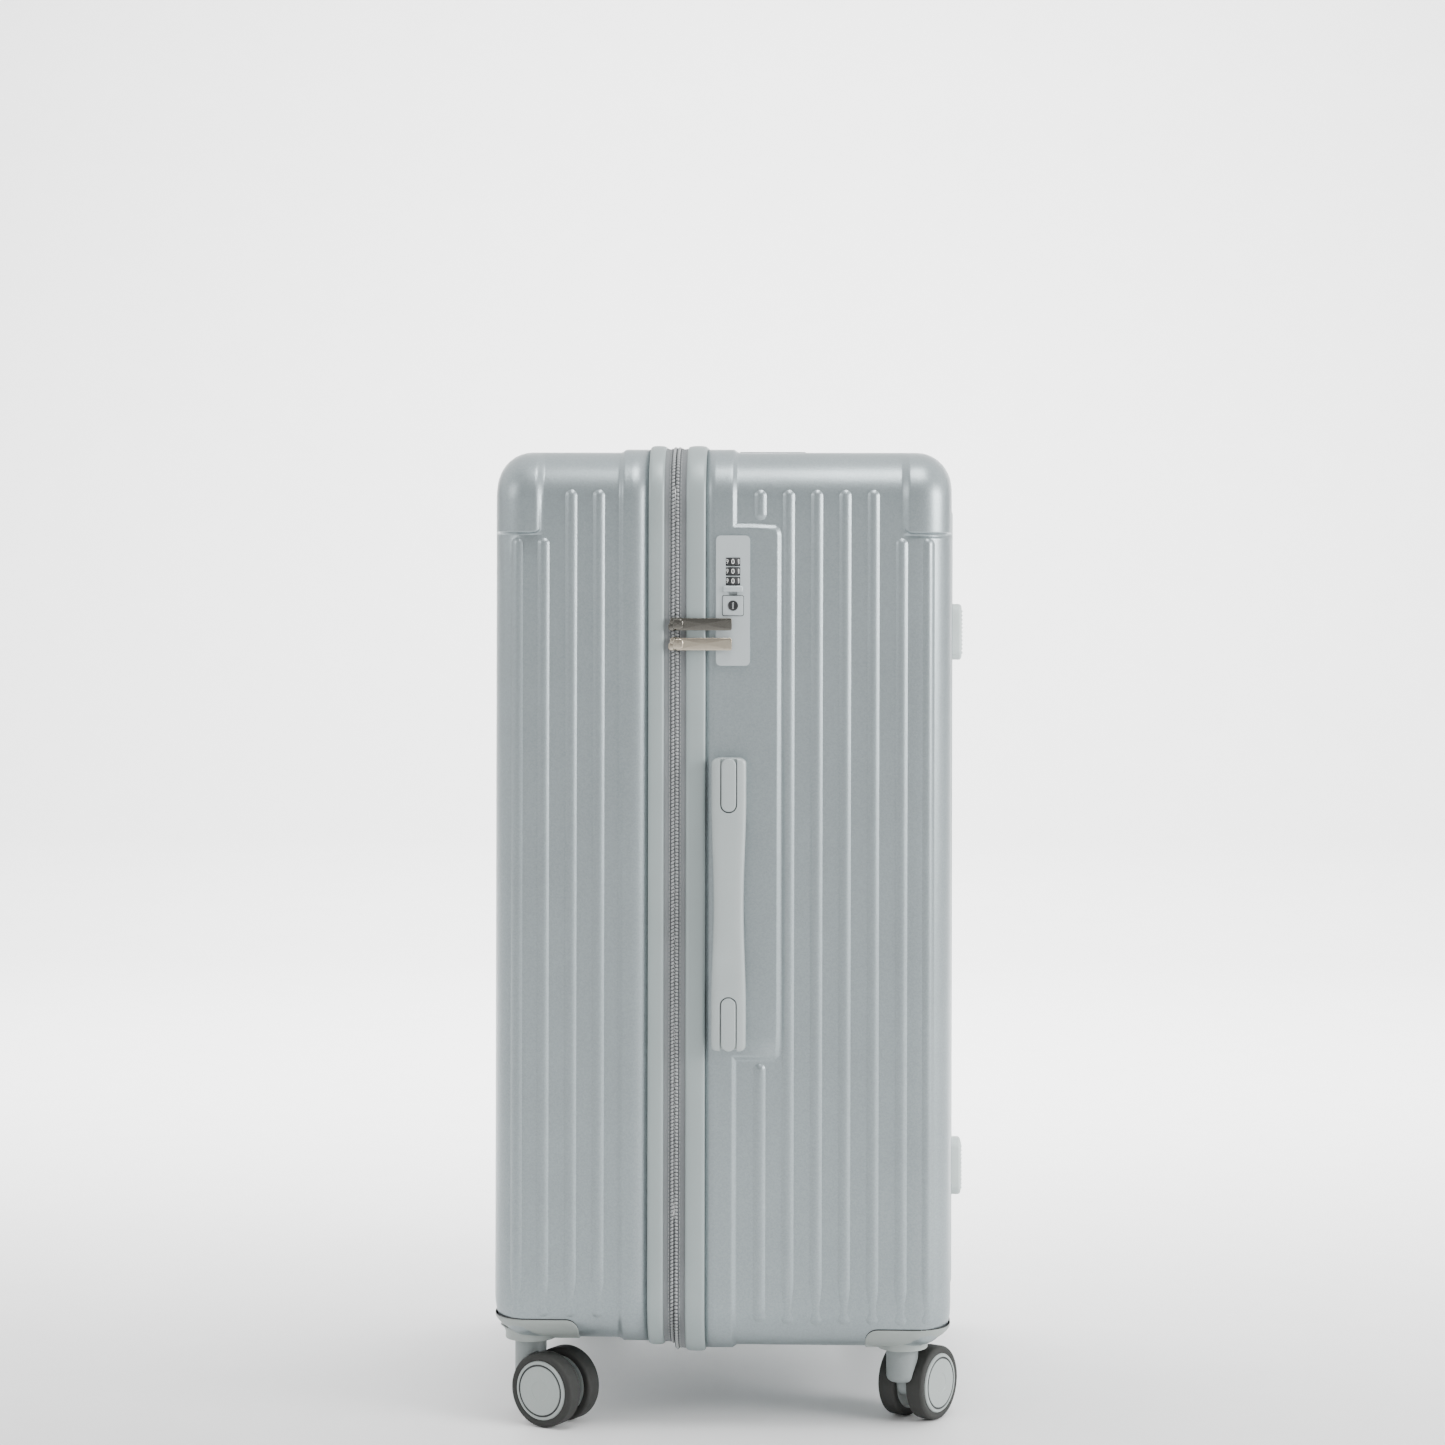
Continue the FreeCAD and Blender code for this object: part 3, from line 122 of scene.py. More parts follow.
@dataclass(frozen=True)
class Finish:
    """A finish: its colour, how it shines and the grain that it shows."""

    name: str
    colour: tuple[int, int, int]
    roughness: float
    grain: Grain = Grain.MOULDED
    metallic: float = 0.0
    pitch: float = 1.2
    depth: float = 0.05
    shade: float = 0.05
    coat: float = 0.0
    sheen: float = 0.0

    def linear(self, gain: float = 1.0) -> tuple[float, float, float, float]:
        """The colour as linear light, times a gain."""
        part = [min(1.0, c / 255 * gain) for c in self.colour]
        return (*[((c + 0.055) / 1.055) ** 2.4 if c > 0.04045 else c / 12.92 for c in part], 1.0)

    def material(self) -> bpy.types.Material:
        """The finish's node material, made once."""
        found = bpy.data.materials.get(self.name)
        return found if found else self._mix()

    def _mix(self) -> bpy.types.Material:
        """Colour varies with a slow and a fine pattern; the fine one also lifts the surface."""
        made = bpy.data.materials.new(self.name)
        made.use_nodes = True
        tree = made.node_tree
        shader = tree.nodes["Principled BSDF"]
        shader.inputs["Metallic"].default_value = self.metallic
        shader.inputs["Coat Weight"].default_value = self.coat
        shader.inputs["Coat Roughness"].default_value = 0.12
        shader.inputs["Sheen Weight"].default_value = self.sheen
        shader.inputs["Sheen Roughness"].default_value = 0.5
        coord = tree.nodes.new("ShaderNodeTexCoord")
        place = coord.outputs["UV" if self.grain is Grain.WEAVE else "Object"]
        slow = _noise(tree, coord.outputs["Object"], 14.0, 3.0)
        fine, lift = self._fine(tree, place)
        tint = _blend(tree, slow, self.linear(1 - self.shade), self.linear(1 + self.shade))
        spread = self.shade * (4.0 if self.grain is Grain.PEBBLE else 1.6)
        shade = _ranged(tree, fine, 1 - spread, 1 + spread)
        scaled = tree.nodes.new("ShaderNodeVectorMath")
        scaled.operation = "SCALE"
        tree.links.new(tint, scaled.inputs[0])
        tree.links.new(shade, scaled.inputs["Scale"])
        tree.links.new(scaled.outputs["Vector"], shader.inputs["Base Color"])
        wear = _noise(tree, coord.outputs["Object"], 60.0, 5.0)
        tree.links.new(_ranged(tree, wear, max(0.03, self.roughness - 0.03), self.roughness + 0.03),
                       shader.inputs["Roughness"])
        bump = tree.nodes.new("ShaderNodeBump")
        bump.inputs["Strength"].default_value = 1.0
        bump.inputs["Distance"].default_value = self.depth * 0.001
        tree.links.new(lift, bump.inputs["Height"])
        tree.links.new(bump.outputs["Normal"], shader.inputs["Normal"])
        return made

    def _fine(self, tree: Tree, place: Socket
              ) -> tuple[Socket, Socket]:
        """The fine pattern, as a value that shades the colour and one that lifts the surface.

        Args:
            tree: the material's nodes.
            place: the coordinates that the pattern follows.

        Returns:
            The shading value and the height value, both from 0 to 1.
        """
        per_metre = 1000.0 / self.pitch
        if self.grain is Grain.PEBBLE:
            cell = tree.nodes.new("ShaderNodeTexVoronoi")
            cell.inputs["Scale"].default_value = per_metre
            tree.links.new(place, cell.inputs["Vector"])
            spark = tree.nodes.new("ShaderNodeSeparateColor")
            tree.links.new(cell.outputs["Color"], spark.inputs["Color"])
            return spark.outputs["Red"], cell.outputs["Distance"]
        if self.grain is Grain.WEAVE:
            return _woven(tree, place, self.pitch)
        if self.grain is Grain.BRUSHED:
            drawn = tree.nodes.new("ShaderNodeMapping")
            drawn.inputs["Scale"].default_value = (1.0, 1.0, 0.04)
            tree.links.new(place, drawn.inputs["Vector"])
            value = _noise(tree, drawn.outputs["Vector"], per_metre, 2.0)
            return value, value
        value = _noise(tree, place, per_metre, 2.0 if self.grain is Grain.MOULDED else 6.0)
        return value, value


def _noise(tree: Tree, place: Socket, scale: float,
           detail: float) -> Socket:
    """Soft noise, scale cells to the metre."""
    node = tree.nodes.new("ShaderNodeTexNoise")
    node.inputs["Scale"].default_value = scale
    node.inputs["Detail"].default_value = detail
    tree.links.new(place, node.inputs["Vector"])
    return node.outputs["Fac"]


def _ranged(tree: Tree, value: Socket, low: float,
            high: float) -> Socket:
    """A 0 to 1 value carried to the range from low to high."""
    node = tree.nodes.new("ShaderNodeMapRange")
    node.inputs["To Min"].default_value = low
    node.inputs["To Max"].default_value = high
    tree.links.new(value, node.inputs["Value"])
    return node.outputs["Result"]


def _blend(tree: Tree, value: Socket, dark: tuple,
           light: tuple) -> Socket:
    """A colour between dark and light, led by a value."""
    ramp = tree.nodes.new("ShaderNodeValToRGB")
    ramp.color_ramp.elements[0].position, ramp.color_ramp.elements[1].position = 0.3, 0.7
    ramp.color_ramp.elements[0].color, ramp.color_ramp.elements[1].color = dark, light
    tree.links.new(value, ramp.inputs["Fac"])
    return ramp.outputs["Color"]


def _sum(tree: Tree, kind: str, a: Socket | float,
         b: Socket | float = 0.0) -> Socket:
    """One step of arithmetic on values."""
    node = tree.nodes.new("ShaderNodeMath")
    node.operation = kind
    for slot, value in zip(node.inputs, (a, b)):
        if isinstance(value, (int, float)):
            slot.default_value = value
        else:
            tree.links.new(value, slot)
    return node.outputs[0]


def _woven(tree: Tree, place: Socket, pitch: float
           ) -> tuple[Socket, Socket]:
    """Plain weave: round threads along u and v, over and under each other by turns.

    A thread's height is the absolute sine of its own coordinate, and the sign of the product
    of both sines says which thread lies on top.
    """
    split = tree.nodes.new("ShaderNodeSeparateXYZ")
    tree.links.new(place, split.inputs["Vector"])
    turn = math.pi * 1000 / pitch
    warp = _sum(tree, "SINE", _sum(tree, "MULTIPLY", split.outputs["X"], turn))
    weft = _sum(tree, "SINE", _sum(tree, "MULTIPLY", split.outputs["Y"], turn))
    over = _sum(tree, "GREATER_THAN", _sum(tree, "MULTIPLY", warp, weft), 0.0)
    under = _sum(tree, "SUBTRACT", 1.0, over)
    height = _sum(tree, "ADD", _sum(tree, "MULTIPLY", _sum(tree, "ABSOLUTE", warp), over),
                  _sum(tree, "MULTIPLY", _sum(tree, "ABSOLUTE", weft), under))
    return height, height


SHELL = Finish("silver_shell", (150, 160, 163), 0.36, Grain.PEBBLE, 0.7, 1.1, 0.05, 0.015, 0.1)
RIM = Finish("silver_rim", (152, 163, 163), 0.42, Grain.MOULDED, 0.25, 1.6, 0.02, 0.02)
TAPE = Finish("grey_zip_tape", (118, 122, 124), 0.85, Grain.WEAVE, pitch=0.9, depth=0.2, shade=0.08, sheen=0.2)
COIL = Finish("pale_zip_coil", (150, 153, 154), 0.42, Grain.MOULDED, pitch=0.8, depth=0.02, shade=0.05)
# Dark strip under the zip coil: painted shade in the gaps between the turns.
ZIP_GAP_SHADE = Finish("zip_gap_painted_shade", (72, 74, 76), 0.8, Grain.WEAVE, pitch=0.8, depth=0.15, shade=0.1)
LINING = Finish("grey_lining_cloth", (112, 116, 120), 0.8, Grain.WEAVE, pitch=1.6, depth=0.16, shade=0.06, sheen=0.3)
WEBBING = Finish("dark_webbing", (58, 61, 64), 0.8, Grain.WEAVE, pitch=1.5, depth=0.3, shade=0.1, sheen=0.2)
FITTING = Finish("grey_plastic_housing", (150, 157, 154), 0.45, Grain.MOULDED, 0.1, 1.4, 0.03, 0.03)
GRIP = Finish("silver_plastic_handle", (168, 176, 176), 0.4, Grain.MOULDED, 0.15, 1.2, 0.02, 0.025)
CUP = Finish("grey_moulded_cup", (120, 127, 128), 0.5, Grain.MOULDED, 0.1, 1.0, 0.04, 0.04)
FOOT = Finish("pale_rubber_foot", (200, 210, 208), 0.5, Grain.MOULDED, 0.0, 1.0, 0.03, 0.03)
LOCK = Finish("satin_lock_plate", (178, 186, 188), 0.35, Grain.MOULDED, 0.2, 0.8, 0.01, 0.02, 0.1)
# Black plastic of the dials; on the key cylinder's face it is painted shade for the dark of the keyhole.
DIAL_BLACK_AND_HOLE_SHADE = Finish("black_dial_and_keyhole_shade", (30, 31, 33), 0.42, Grain.MOULDED, 0.0, 0.7, 0.02, 0.05)
DIGIT = Finish("white_digit_paint", (232, 234, 232), 0.5, Grain.MOULDED, 0.0, 0.5, 0.004, 0.01)
STEEL = Finish("bright_steel", (190, 194, 196), 0.25, Grain.BRUSHED, 1.0, 0.6, 0.005, 0.03)
DARK_CHROME = Finish("dark_chrome_pull", (120, 118, 112), 0.14, Grain.BRUSHED, 1.0, 0.7, 0.004, 0.04)
CHAMPAGNE = Finish("champagne_pull", (202, 192, 174), 0.17, Grain.BRUSHED, 1.0, 0.7, 0.004, 0.04)
TUBE = Finish("satin_aluminium_tube", (188, 192, 195), 0.3, Grain.BRUSHED, 1.0, 0.6, 0.006, 0.03)
FORK = Finish("grey_fork_plastic", (132, 139, 139), 0.45, Grain.MOULDED, 0.1, 1.1, 0.03, 0.03)
TYRE = Finish("dark_tyre_rubber", (40, 41, 39), 0.72, Grain.RUBBER, 0.0, 0.9, 0.05, 0.12)
HUB = Finish("grey_wheel_cap", (158, 165, 163), 0.42, Grain.MOULDED, 0.15, 1.2, 0.02, 0.03)
# Dark colour for the housings' joints; in the wheel caps' grooves and round the key plate it is painted shade.
DARK_JOINT_AND_SHADE = Finish("dark_joint_and_painted_shade", (44, 46, 47), 0.6, Grain.MOULDED, 0.0, 0.8, 0.02, 0.05)
BUCKLE = Finish("black_buckle", (34, 35, 37), 0.4, Grain.MOULDED, 0.0, 0.9, 0.02, 0.05)
FLOOR = Finish("pale_floor", (236, 236, 236), 0.6, Grain.MOULDED, 0.0, 30.0, 0.02, 0.004)


# ---------------------------------------------------------------- the case as a frame for the pieces

def near_steps(places: tuple[float, ...], low: float, high: float, coarse: float) -> Array:
    """Sample places from low to high: an even run, with a close cluster at each stated place.

    Args:
        places: where the surface steps.
        low: first place.
        high: last place.
        coarse: distance between samples elsewhere.

    Returns:
        The sorted places.
    """
    even = np.linspace(low, high, max(2, int(round((high - low) / coarse)) + 1))
    close = np.array([-3.2, -2.2, -1.5, -0.9, -0.4, 0.0, 0.4, 0.9, 1.5, 2.2, 3.2])
    extra = (np.array(places)[:, None] + close).ravel() if places else np.empty(0)
    extra = extra[(extra > low) & (extra < high)]
    return np.unique(np.round(np.concatenate([even, extra]), 3))


def smooth_step(value: Array, width: float) -> Array:
    """0 below -width, 1 above +width, and a smooth cubic between."""
    t = np.clip((value + width) / (2 * width), 0, 1)
    return t * t * (3 - 2 * t)


def box_distance(a: Array, b: Array, mid: tuple[float, float], half: tuple[float, float],
                 radius: float) -> Array:
    """Distance outside a rectangle with round corners, less than 0 inside it.

    Args:
        a: first coordinate of each point.
        b: second coordinate.
        mid: middle of the rectangle.
        half: half its sides.
        radius: corner radius.

    Returns:
        The distance at each point.
    """
    da, db = np.abs(a - mid[0]) - half[0] + radius, np.abs(b - mid[1]) - half[1] + radius
    return np.hypot(np.maximum(da, 0), np.maximum(db, 0)) + np.minimum(np.maximum(da, db), 0) - radius


@dataclass(frozen=True)
class Loop:
    """A closed outline: points on it and the outward direction at each."""

    foot: Array
    out: Array

    def run(self) -> Array:
        """Length along the outline up to each point."""
        step = np.linalg.norm(np.diff(self.foot, axis=0), axis=1)
        return np.concatenate([[0], np.cumsum(step)])


def round_loop(half: float, low: float, high: float, radius: float, flats: Array,
               sides: Array, turns: int = 12) -> Loop:
    """A rectangle with round corners, from -half to half and low to high, walked once round.

    Each corner is a quarter circle of the radius, sampled by equal angles; the straight runs
    take the given places. The last point repeats the first, so that the loop closes.

    Args:
        half: half the width.
        low: lowest height.
        high: highest height.
        radius: corner radius.
        flats: places across the level runs, from -(half - radius) to half - radius.
        sides: heights on the upright runs.
        turns: steps in each corner.

    Returns:
        The loop.
    """
    reach = half - radius
    quarter = np.linspace(0, RIGHT, turns + 1)[1:-1]
    feet, outs = [], []

    def straight(first: Array, second: Array, out: tuple[float, float]) -> None:
        """Add a straight run."""
        feet.append(np.stack(np.broadcast_arrays(first, second), axis=-1).astype(float))
        outs.append(np.tile(np.array(out, float), (len(feet[-1]), 1)))

    def corner(centre: tuple[float, float], start: float) -> None:
        """Add a corner's arc."""
        way = np.stack([np.cos(start + quarter), np.sin(start + quarter)], axis=-1)
        feet.append(np.array(centre) + radius * way)
        outs.append(way)

    straight(flats, np.array(low), (0, -1))
    corner((reach, low + radius), -RIGHT)
    straight(np.array(half), sides, (1, 0))
    corner((reach, high - radius), 0)
    straight(flats[::-1], np.array(high), (0, 1))
    corner((-reach, high - radius), RIGHT)
    straight(np.array(-half), sides[::-1], (-1, 0))
    corner((-reach, low + radius), math.pi)
    feet.append(feet[0][:1])
    outs.append(outs[0][:1])
    return Loop(np.concatenate(feet), np.concatenate(outs))


@dataclass(frozen=True)
class Extent:
    """A node's box in millimetres."""

    low: Array
    high: Array

    @classmethod
    def of(cls, node: str) -> "Extent":
        """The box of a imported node, in the frame's own axes."""
        return cls(*(np.array(corner) * PER_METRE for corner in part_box(node)))

    @property
    def mid(self) -> Array:
        """The middle of the box."""
        return (self.low + self.high) / 2

    @property
    def size(self) -> Array:
        """The sides of the box."""
        return self.high - self.low


@dataclass(frozen=True)
class Case:
    """Where the case stands in the frame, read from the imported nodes' boxes."""

    middle_x: float
    middle_y: float
    end: float
    half: float
    high: float
    low_rear: float
    low_front: float
    zip_x: float
    outline_round: float = 40.0
    edge_round: float = 30.0
    wall_gap: float = 3.3

    @classmethod
    def from_model(cls) -> "Case":
        """Measure the case: each lining lies one wall and a gap inside its shell."""
        rear, front = Extent.of("rear_lining"), Extent.of("front_lining")
        seam = (Extent.of("rear_zip_teeth").low[0] + Extent.of("front_zip_teeth").high[0]) / 2
        middle_x, gap = (rear.high[0] + front.low[0]) / 2, cls.wall_gap
        return cls(middle_x=middle_x, middle_y=rear.mid[1], end=(rear.high[0] - front.low[0]) / 2 + gap,
                   half=rear.size[1] / 2 + gap, high=rear.high[2] + gap, low_rear=rear.low[2] - gap,
                   low_front=front.low[2] - gap, zip_x=seam - middle_x)

    @property
    def middle(self) -> Array:
        """The case's middle in the frame, on the floor."""
        return np.array([self.middle_x, self.middle_y, 0.0])

    def put(self, points: Array) -> Array:
        """Millimetres from the case's middle, as metres in the frame."""
        return (points + self.middle) * METRES

    def box(self, node: str) -> Extent:
        """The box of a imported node, measured from the case's middle."""
        raw = Extent.of(node)
        return Extent(raw.low - self.middle, raw.high - self.middle)

    def joint(self, name: str) -> tuple[Array, Array]:
        """Where a joint stands, from the case's middle, and the way its axis points."""
        found = next(joint for joint in frame["joints"] if joint["name"] == name)
        return np.array(found["pos_m"], float) * PER_METRE - self.middle, np.array(found["axis"], float)

    def core(self, x: float = 0.0) -> Array:
        """A point at X, halfway up, that surfaces look away from."""
        return np.array([x, 0.0, (self.high + self.low_rear) / 2])

    def low(self, half: int) -> float:
        """Underside of one half of the case."""
        return self.low_rear if half == REAR else self.low_front

    def loop(self, half: int, flats: tuple[float, ...] = (), sides: tuple[float, ...] = (),
             coarse: float = 18.0, turns: int = 12) -> Loop:
        """The outline of one half, sampled closely round the stated places.

        Args:
            half: FRONT or REAR.
            flats: places on the level runs.
            sides: heights on the upright runs.
            coarse: distance between samples elsewhere.
            turns: steps in each corner.

        Returns:
            The outline.
        """
        reach, r = self.half - self.outline_round, self.outline_round
        return round_loop(self.half, self.low(half), self.high, r,
                          near_steps(flats, -reach, reach, coarse),
                          near_steps(sides, self.low(half) + r, self.high - r, coarse), turns)

    def side_point(self, height: Array, side: int, half: int) -> tuple[Array, Array]:
        """The upright line of one narrow side, which bends round the outline's lower corner.

        Args:
            height: distance along the line, which is the height where it is straight.
            side: NEAR or FAR.
            half: FRONT or REAR.

        Returns:
            Points and outward directions, both as Y and Z.
        """
        r, bend = self.outline_round, self.low(half) + self.outline_round
        angle = np.clip((bend - height) / r, 0, RIGHT)
        y = side * (self.half - r + r * np.cos(angle))
        z = np.where(height > bend, height, bend - r * np.sin(angle))
        return np.stack([y, z], -1), np.stack([side * np.cos(angle), -np.sin(angle)], -1)

    def edge(self, x: Array) -> tuple[Array, Array]:
        """How the skin turns in at the end faces: its inset and its slope angle at X."""
        over = np.clip(np.abs(x) - (self.end - self.edge_round), 0, self.edge_round * 0.999)
        angle = np.arcsin(over / self.edge_round)
        return self.edge_round * (1 - np.cos(angle)), angle

    def wrap(self, half: int, straight: Array, turns: int, rings: int, gap: float = 0.0
             ) -> tuple[Array, Array, Array, Array]:
        """A profile from the seam along the side, round the end's edge and in over the end face.

        Args:
            half: FRONT or REAR.
            straight: X of the samples along the side, from the seam on.
            turns: steps round the edge, a quarter circle.
            rings: steps over the end face.
            gap: how far the profile lies inside the case.

        Returns:
            X, slope angle, inset from the outline and scale of each sample.
        """
        radius = self.edge_round - gap
        arc = np.linspace(0, RIGHT, turns + 1)[1:]
        slope = np.concatenate([np.zeros(len(straight)), arc, np.full(rings, RIGHT)])
        turned = half * (self.end - self.edge_round + radius * np.sin(slope[len(straight):]))
        scale = np.concatenate([np.ones(len(straight) + turns), np.linspace(1, 0, rings + 1)[1:]])
        return np.concatenate([straight, turned]), slope, self.edge_round - radius * np.cos(slope), scale

    def carry(self, loop: Loop, half: int, inset: Array, scale: Array) -> Array:
        """The outline drawn in by the inset, then scaled towards its middle, sample by sample."""
        ring = loop.foot[:, None] - loop.out[:, None] * inset[..., None]
        centre = np.array([0.0, (self.high + self.low(half)) / 2])
        return centre + (ring - centre) * scale[None, :, None]

    def uncut(self, points: Array, windows: tuple[Window, ...], depth: float) -> Array:
        """Which cells of a skin stay once its windows are open.

        Args:
            points: the skin's points.
            windows: each window's face (NEAR for the near side, FAR for the top), then its lowest
                and highest X, and its lowest and highest place along the face.
            depth: how deep under the face a cell still counts as on it.

        Returns:
            A mask over the cells.
        """
        mid = (points[:-1, :-1] + points[1:, 1:]) / 2
        keep = np.ones(mid.shape[:2], bool)
        for face, a0, a1, b0, b1 in windows:
            on = mid[..., 1] < depth - self.half if face == NEAR else mid[..., 2] > self.high - depth
            along = mid[..., 2] if face == NEAR else mid[..., 1]
            keep &= ~(on & (mid[..., 0] > a0) & (mid[..., 0] < a1) & (along > b0) & (along < b1))
        return keep


@dataclass
class Half:
    """A piece that is made once for each half of the case."""

    case: Case
    half_side: int

    @property
    def name(self) -> str:
        """Name of this half."""
        return "rear" if self.half_side == REAR else "front"

    @property
    def body(self) -> str:
        """The body that this half's pieces ride on."""
        return self.name + "_half"

    def seam(self, node: str) -> float:
        """X where one of this half's nodes begins, on the side of the zip."""
        box = self.case.box(f"{self.name}_{node}")
        return box.low[0] if self.half_side == REAR else box.high[0]


class Mesher:
    """Gathers grids of points and makes one mesh of them."""

    def __init__(self, name: str, case: Case) -> None:
        """Start an empty piece."""
        self.name, self.case = name, case
        self.points, self.faces, self.uvs, self.tags, self.count = [], [], [], [], 0

    def grid(self, points: Array, inside: Array | None = None, keep: Array | None = None,
             tag: int = 0) -> "Mesher":
        """Add a surface given by points over two parameters.

        Each cell of the grid is a face. The faces are turned so that they point away from
        `inside`, or, for a closed surface, so that the volume that they enclose is positive.

        Args:
            points: array of (u, v, 3), or (copies, u, v, 3) for a repeated shape.
            inside: a point, or one for each u, that the surface looks away from.
            keep: which cells are kept.
            tag: the index of the cells' finish.

        Returns:
            The mesher, for chaining.
        """
        many = points if points.ndim == 4 else points[None]
        copies, nu, nv = many.shape[:3]
        index = np.arange(nu * nv).reshape(nu, nv)
        quads = np.stack([index[:-1, :-1], index[1:, :-1], index[1:, 1:], index[:-1, 1:]], -1)
        first = many[0]
        a, b, c, d = (first.reshape(-1, 3)[quads[..., k]] for k in range(4))
        area, centre = np.cross(c - a, d - b), (a + b + c + d) / 4
        away = centre if inside is None else centre - (inside[:-1] if np.ndim(inside) == 3 else inside)
        if np.sum(area * away) < 0:
            quads = quads[..., ::-1]
        du = np.linalg.norm(np.diff(first, axis=0), axis=2).mean(1)
        dv = np.linalg.norm(np.diff(first, axis=1), axis=2).max(0)
        u = np.concatenate([[0], np.cumsum(du)])[:, None] * np.ones((1, nv))
        v = np.concatenate([[0], np.cumsum(dv)])[None, :] * np.ones((nu, 1))
        uv = np.stack([u, v], -1).reshape(-1, 2) * METRES
        if keep is not None:
            quads = quads[keep]
        quads = quads.reshape(-1, 4)
        start = self.count + np.arange(copies)[:, None, None] * nu * nv
        self.faces.append((quads[None] + start).reshape(-1, 4))
        self.uvs.append(np.tile(uv[quads].reshape(-1, 2), (copies, 1)))
        self.tags.append(np.full(len(self.faces[-1]), tag))
        self.points.append(many.reshape(-1, 3))
        self.count += copies * nu * nv
        return self

    def make(self, *finishes: Finish, body: str, replaces: tuple[str, ...] = (), wall: float = 0.0,
             sharp: float = 40.0) -> bpy.types.Object:
        """Make the mesh and its object, dressed and riding on a body.

        Args:
            finishes: the finishes, in the order of the tags.
            body: the body that it rides on.
            replaces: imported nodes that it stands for.
            wall: thickness to give to an open surface, inwards.
            sharp: edges sharper than this angle stay crisp.

        Returns:
            The object.
        """
        faces, uvs = np.concatenate(self.faces), np.concatenate(self.uvs)
        mesh = bpy.data.meshes.new(self.name)
        mesh.vertices.add(self.count)
        mesh.vertices.foreach_set("co", self.case.put(np.concatenate(self.points)).ravel())
        mesh.loops.add(faces.size)
        mesh.loops.foreach_set("vertex_index", faces.ravel())
        mesh.polygons.add(len(faces))
        mesh.polygons.foreach_set("loop_start", np.arange(0, faces.size, 4))
        mesh.polygons.foreach_set("material_index", np.concatenate(self.tags))
        mesh.update(calc_edges=True)
        mesh.uv_layers.new(name="UVMap").data.foreach_set("uv", uvs.ravel())
        work = bmesh.new()
        work.from_mesh(mesh)
        bmesh.ops.remove_doubles(work, verts=work.verts, dist=3e-6)
        bmesh.ops.dissolve_degenerate(work, edges=work.edges, dist=1e-7)
        work.to_mesh(mesh)
        work.free()
        mesh.validate()
        mesh.polygons.foreach_set("use_smooth", np.ones(len(mesh.polygons), bool))
        mesh.set_sharp_from_angle(angle=math.radians(sharp))
        piece = bpy.data.objects.new(self.name, mesh)
        bpy.context.scene.collection.objects.link(piece)
        for finish in finishes:
            mesh.materials.append(finish.material())
        if wall:
            solid = piece.modifiers.new("wall", "SOLIDIFY")
            solid.thickness, solid.offset = wall * METRES, -1.0
            solid.use_even_offset = False
        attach(piece, body)
        if replaces:
            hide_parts(*replaces)
        return piece


@dataclass(frozen=True)
class Seat:
    """A place on the case for a flat piece: its middle and its across, along and outward axes."""

    middle: tuple[float, float, float]
    across: tuple[float, float, float]
    along: tuple[float, float, float]
    out: tuple[float, float, float]

    def at(self, a: Array, b: Array, n: Array) -> Array:
        """Points at a across, b along and n outwards of the seat."""
        a, b, n = (np.asarray(v, float)[..., None] for v in np.broadcast_arrays(a, b, n))
        middle, across, along, out = map(np.array, (self.middle, self.across, self.along, self.out))
        return middle + a * across + b * along + n * out

    def moved(self, a: float = 0.0, b: float = 0.0, n: float = 0.0) -> "Seat":
        """The same seat moved along its own axes."""
        return Seat(tuple(self.at(a, b, n)), self.across, self.along, self.out)


def slab(seat: Seat, width: float, length: float, low: float, high: float, corner: float,
         edge: float, crown: float = 0.0, rings: int = 4, base_edge: float = 0.0) -> Array:
    """A closed slab with round plan corners and a rounded upper edge.

    Ring by ring the plan outline rises from the underside's middle, out to the wall, up, round
    the edge by a quarter circle, and in to the middle of the top, which swells by the crown.

    Args:
        seat: where it lies.
        width: size across.
        length: size along.
        low: underside, outwards from the seat.
        high: top, outwards from the seat.
        corner: plan corner radius.
        edge: radius of the upper edge.
        crown: how much the middle of the top swells.
        rings: steps of the upper edge.
        base_edge: radius of the lower edge.

    Returns:
        Points over the outline and the rings.
    """
    corner = min(corner, width / 2 - 0.01, length / 2 - 0.01)
    plan = round_loop(width / 2, -length / 2, length / 2, corner,
                      np.array([-(width / 2 - corner), width / 2 - corner]),
                      np.linspace(-(length / 2 - corner), length / 2 - corner, 5), 7)
    arc = np.linspace(0, RIGHT, rings + 1)
    insets = [base_edge, *(base_edge * (1 - np.sin(arc)) if base_edge else [0.0]), *(edge * (1 - np.cos(arc)))]
    heights = [low, *(low + base_edge * (1 - np.cos(arc)) if base_edge else [low]),
               *(high - edge + edge * np.sin(arc))]
    shrink, lift = [0.0, 1.0] + [1.0] * (len(insets) - 1), [low] + heights
    insets = [base_edge] + insets
    for s in (0.8, 0.5, 0.0):
        insets.append(edge)
        shrink.append(s)
        lift.append(high + crown * (1 - s * s))
    ring = plan.foot[:, None] - plan.out[:, None] * np.array(insets)[None, :, None]
    ring = ring * np.array(shrink)[None, :, None]
    return seat.at(ring[..., 0], ring[..., 1], np.array(lift)[None, :] * np.ones((len(plan.foot), 1)))


def lathe(seat: Seat, radii: Array, heights: Array, steps: int = 48) -> Array:
    """A turned shape: the profile of radii and heights spun once round the seat's outward axis."""
    angle = np.linspace(0, ROUND, steps + 1)[:, None]
    return seat.at(np.cos(angle) * radii[None], np.sin(angle) * radii[None], np.asarray(heights)[None])


def dress(node: str, finish: Finish) -> None:
    """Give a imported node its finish."""
    for slot in frame["nodes"][node].material_slots:
        slot.material = finish.material()


def surface(piece: bpy.types.Object) -> float:
    """Area of a piece's mesh, in square metres."""
    return sum(face.area for face in piece.data.polygons)


def tilted(half: int, slope: Array, out: Array) -> Array:
    """Outward directions of a skin: X by the sine of its slope, the outline's way by the cosine."""
    return np.concatenate([(half * np.sin(slope))[..., None], out[:, None] * np.cos(slope)[..., None]], -1)


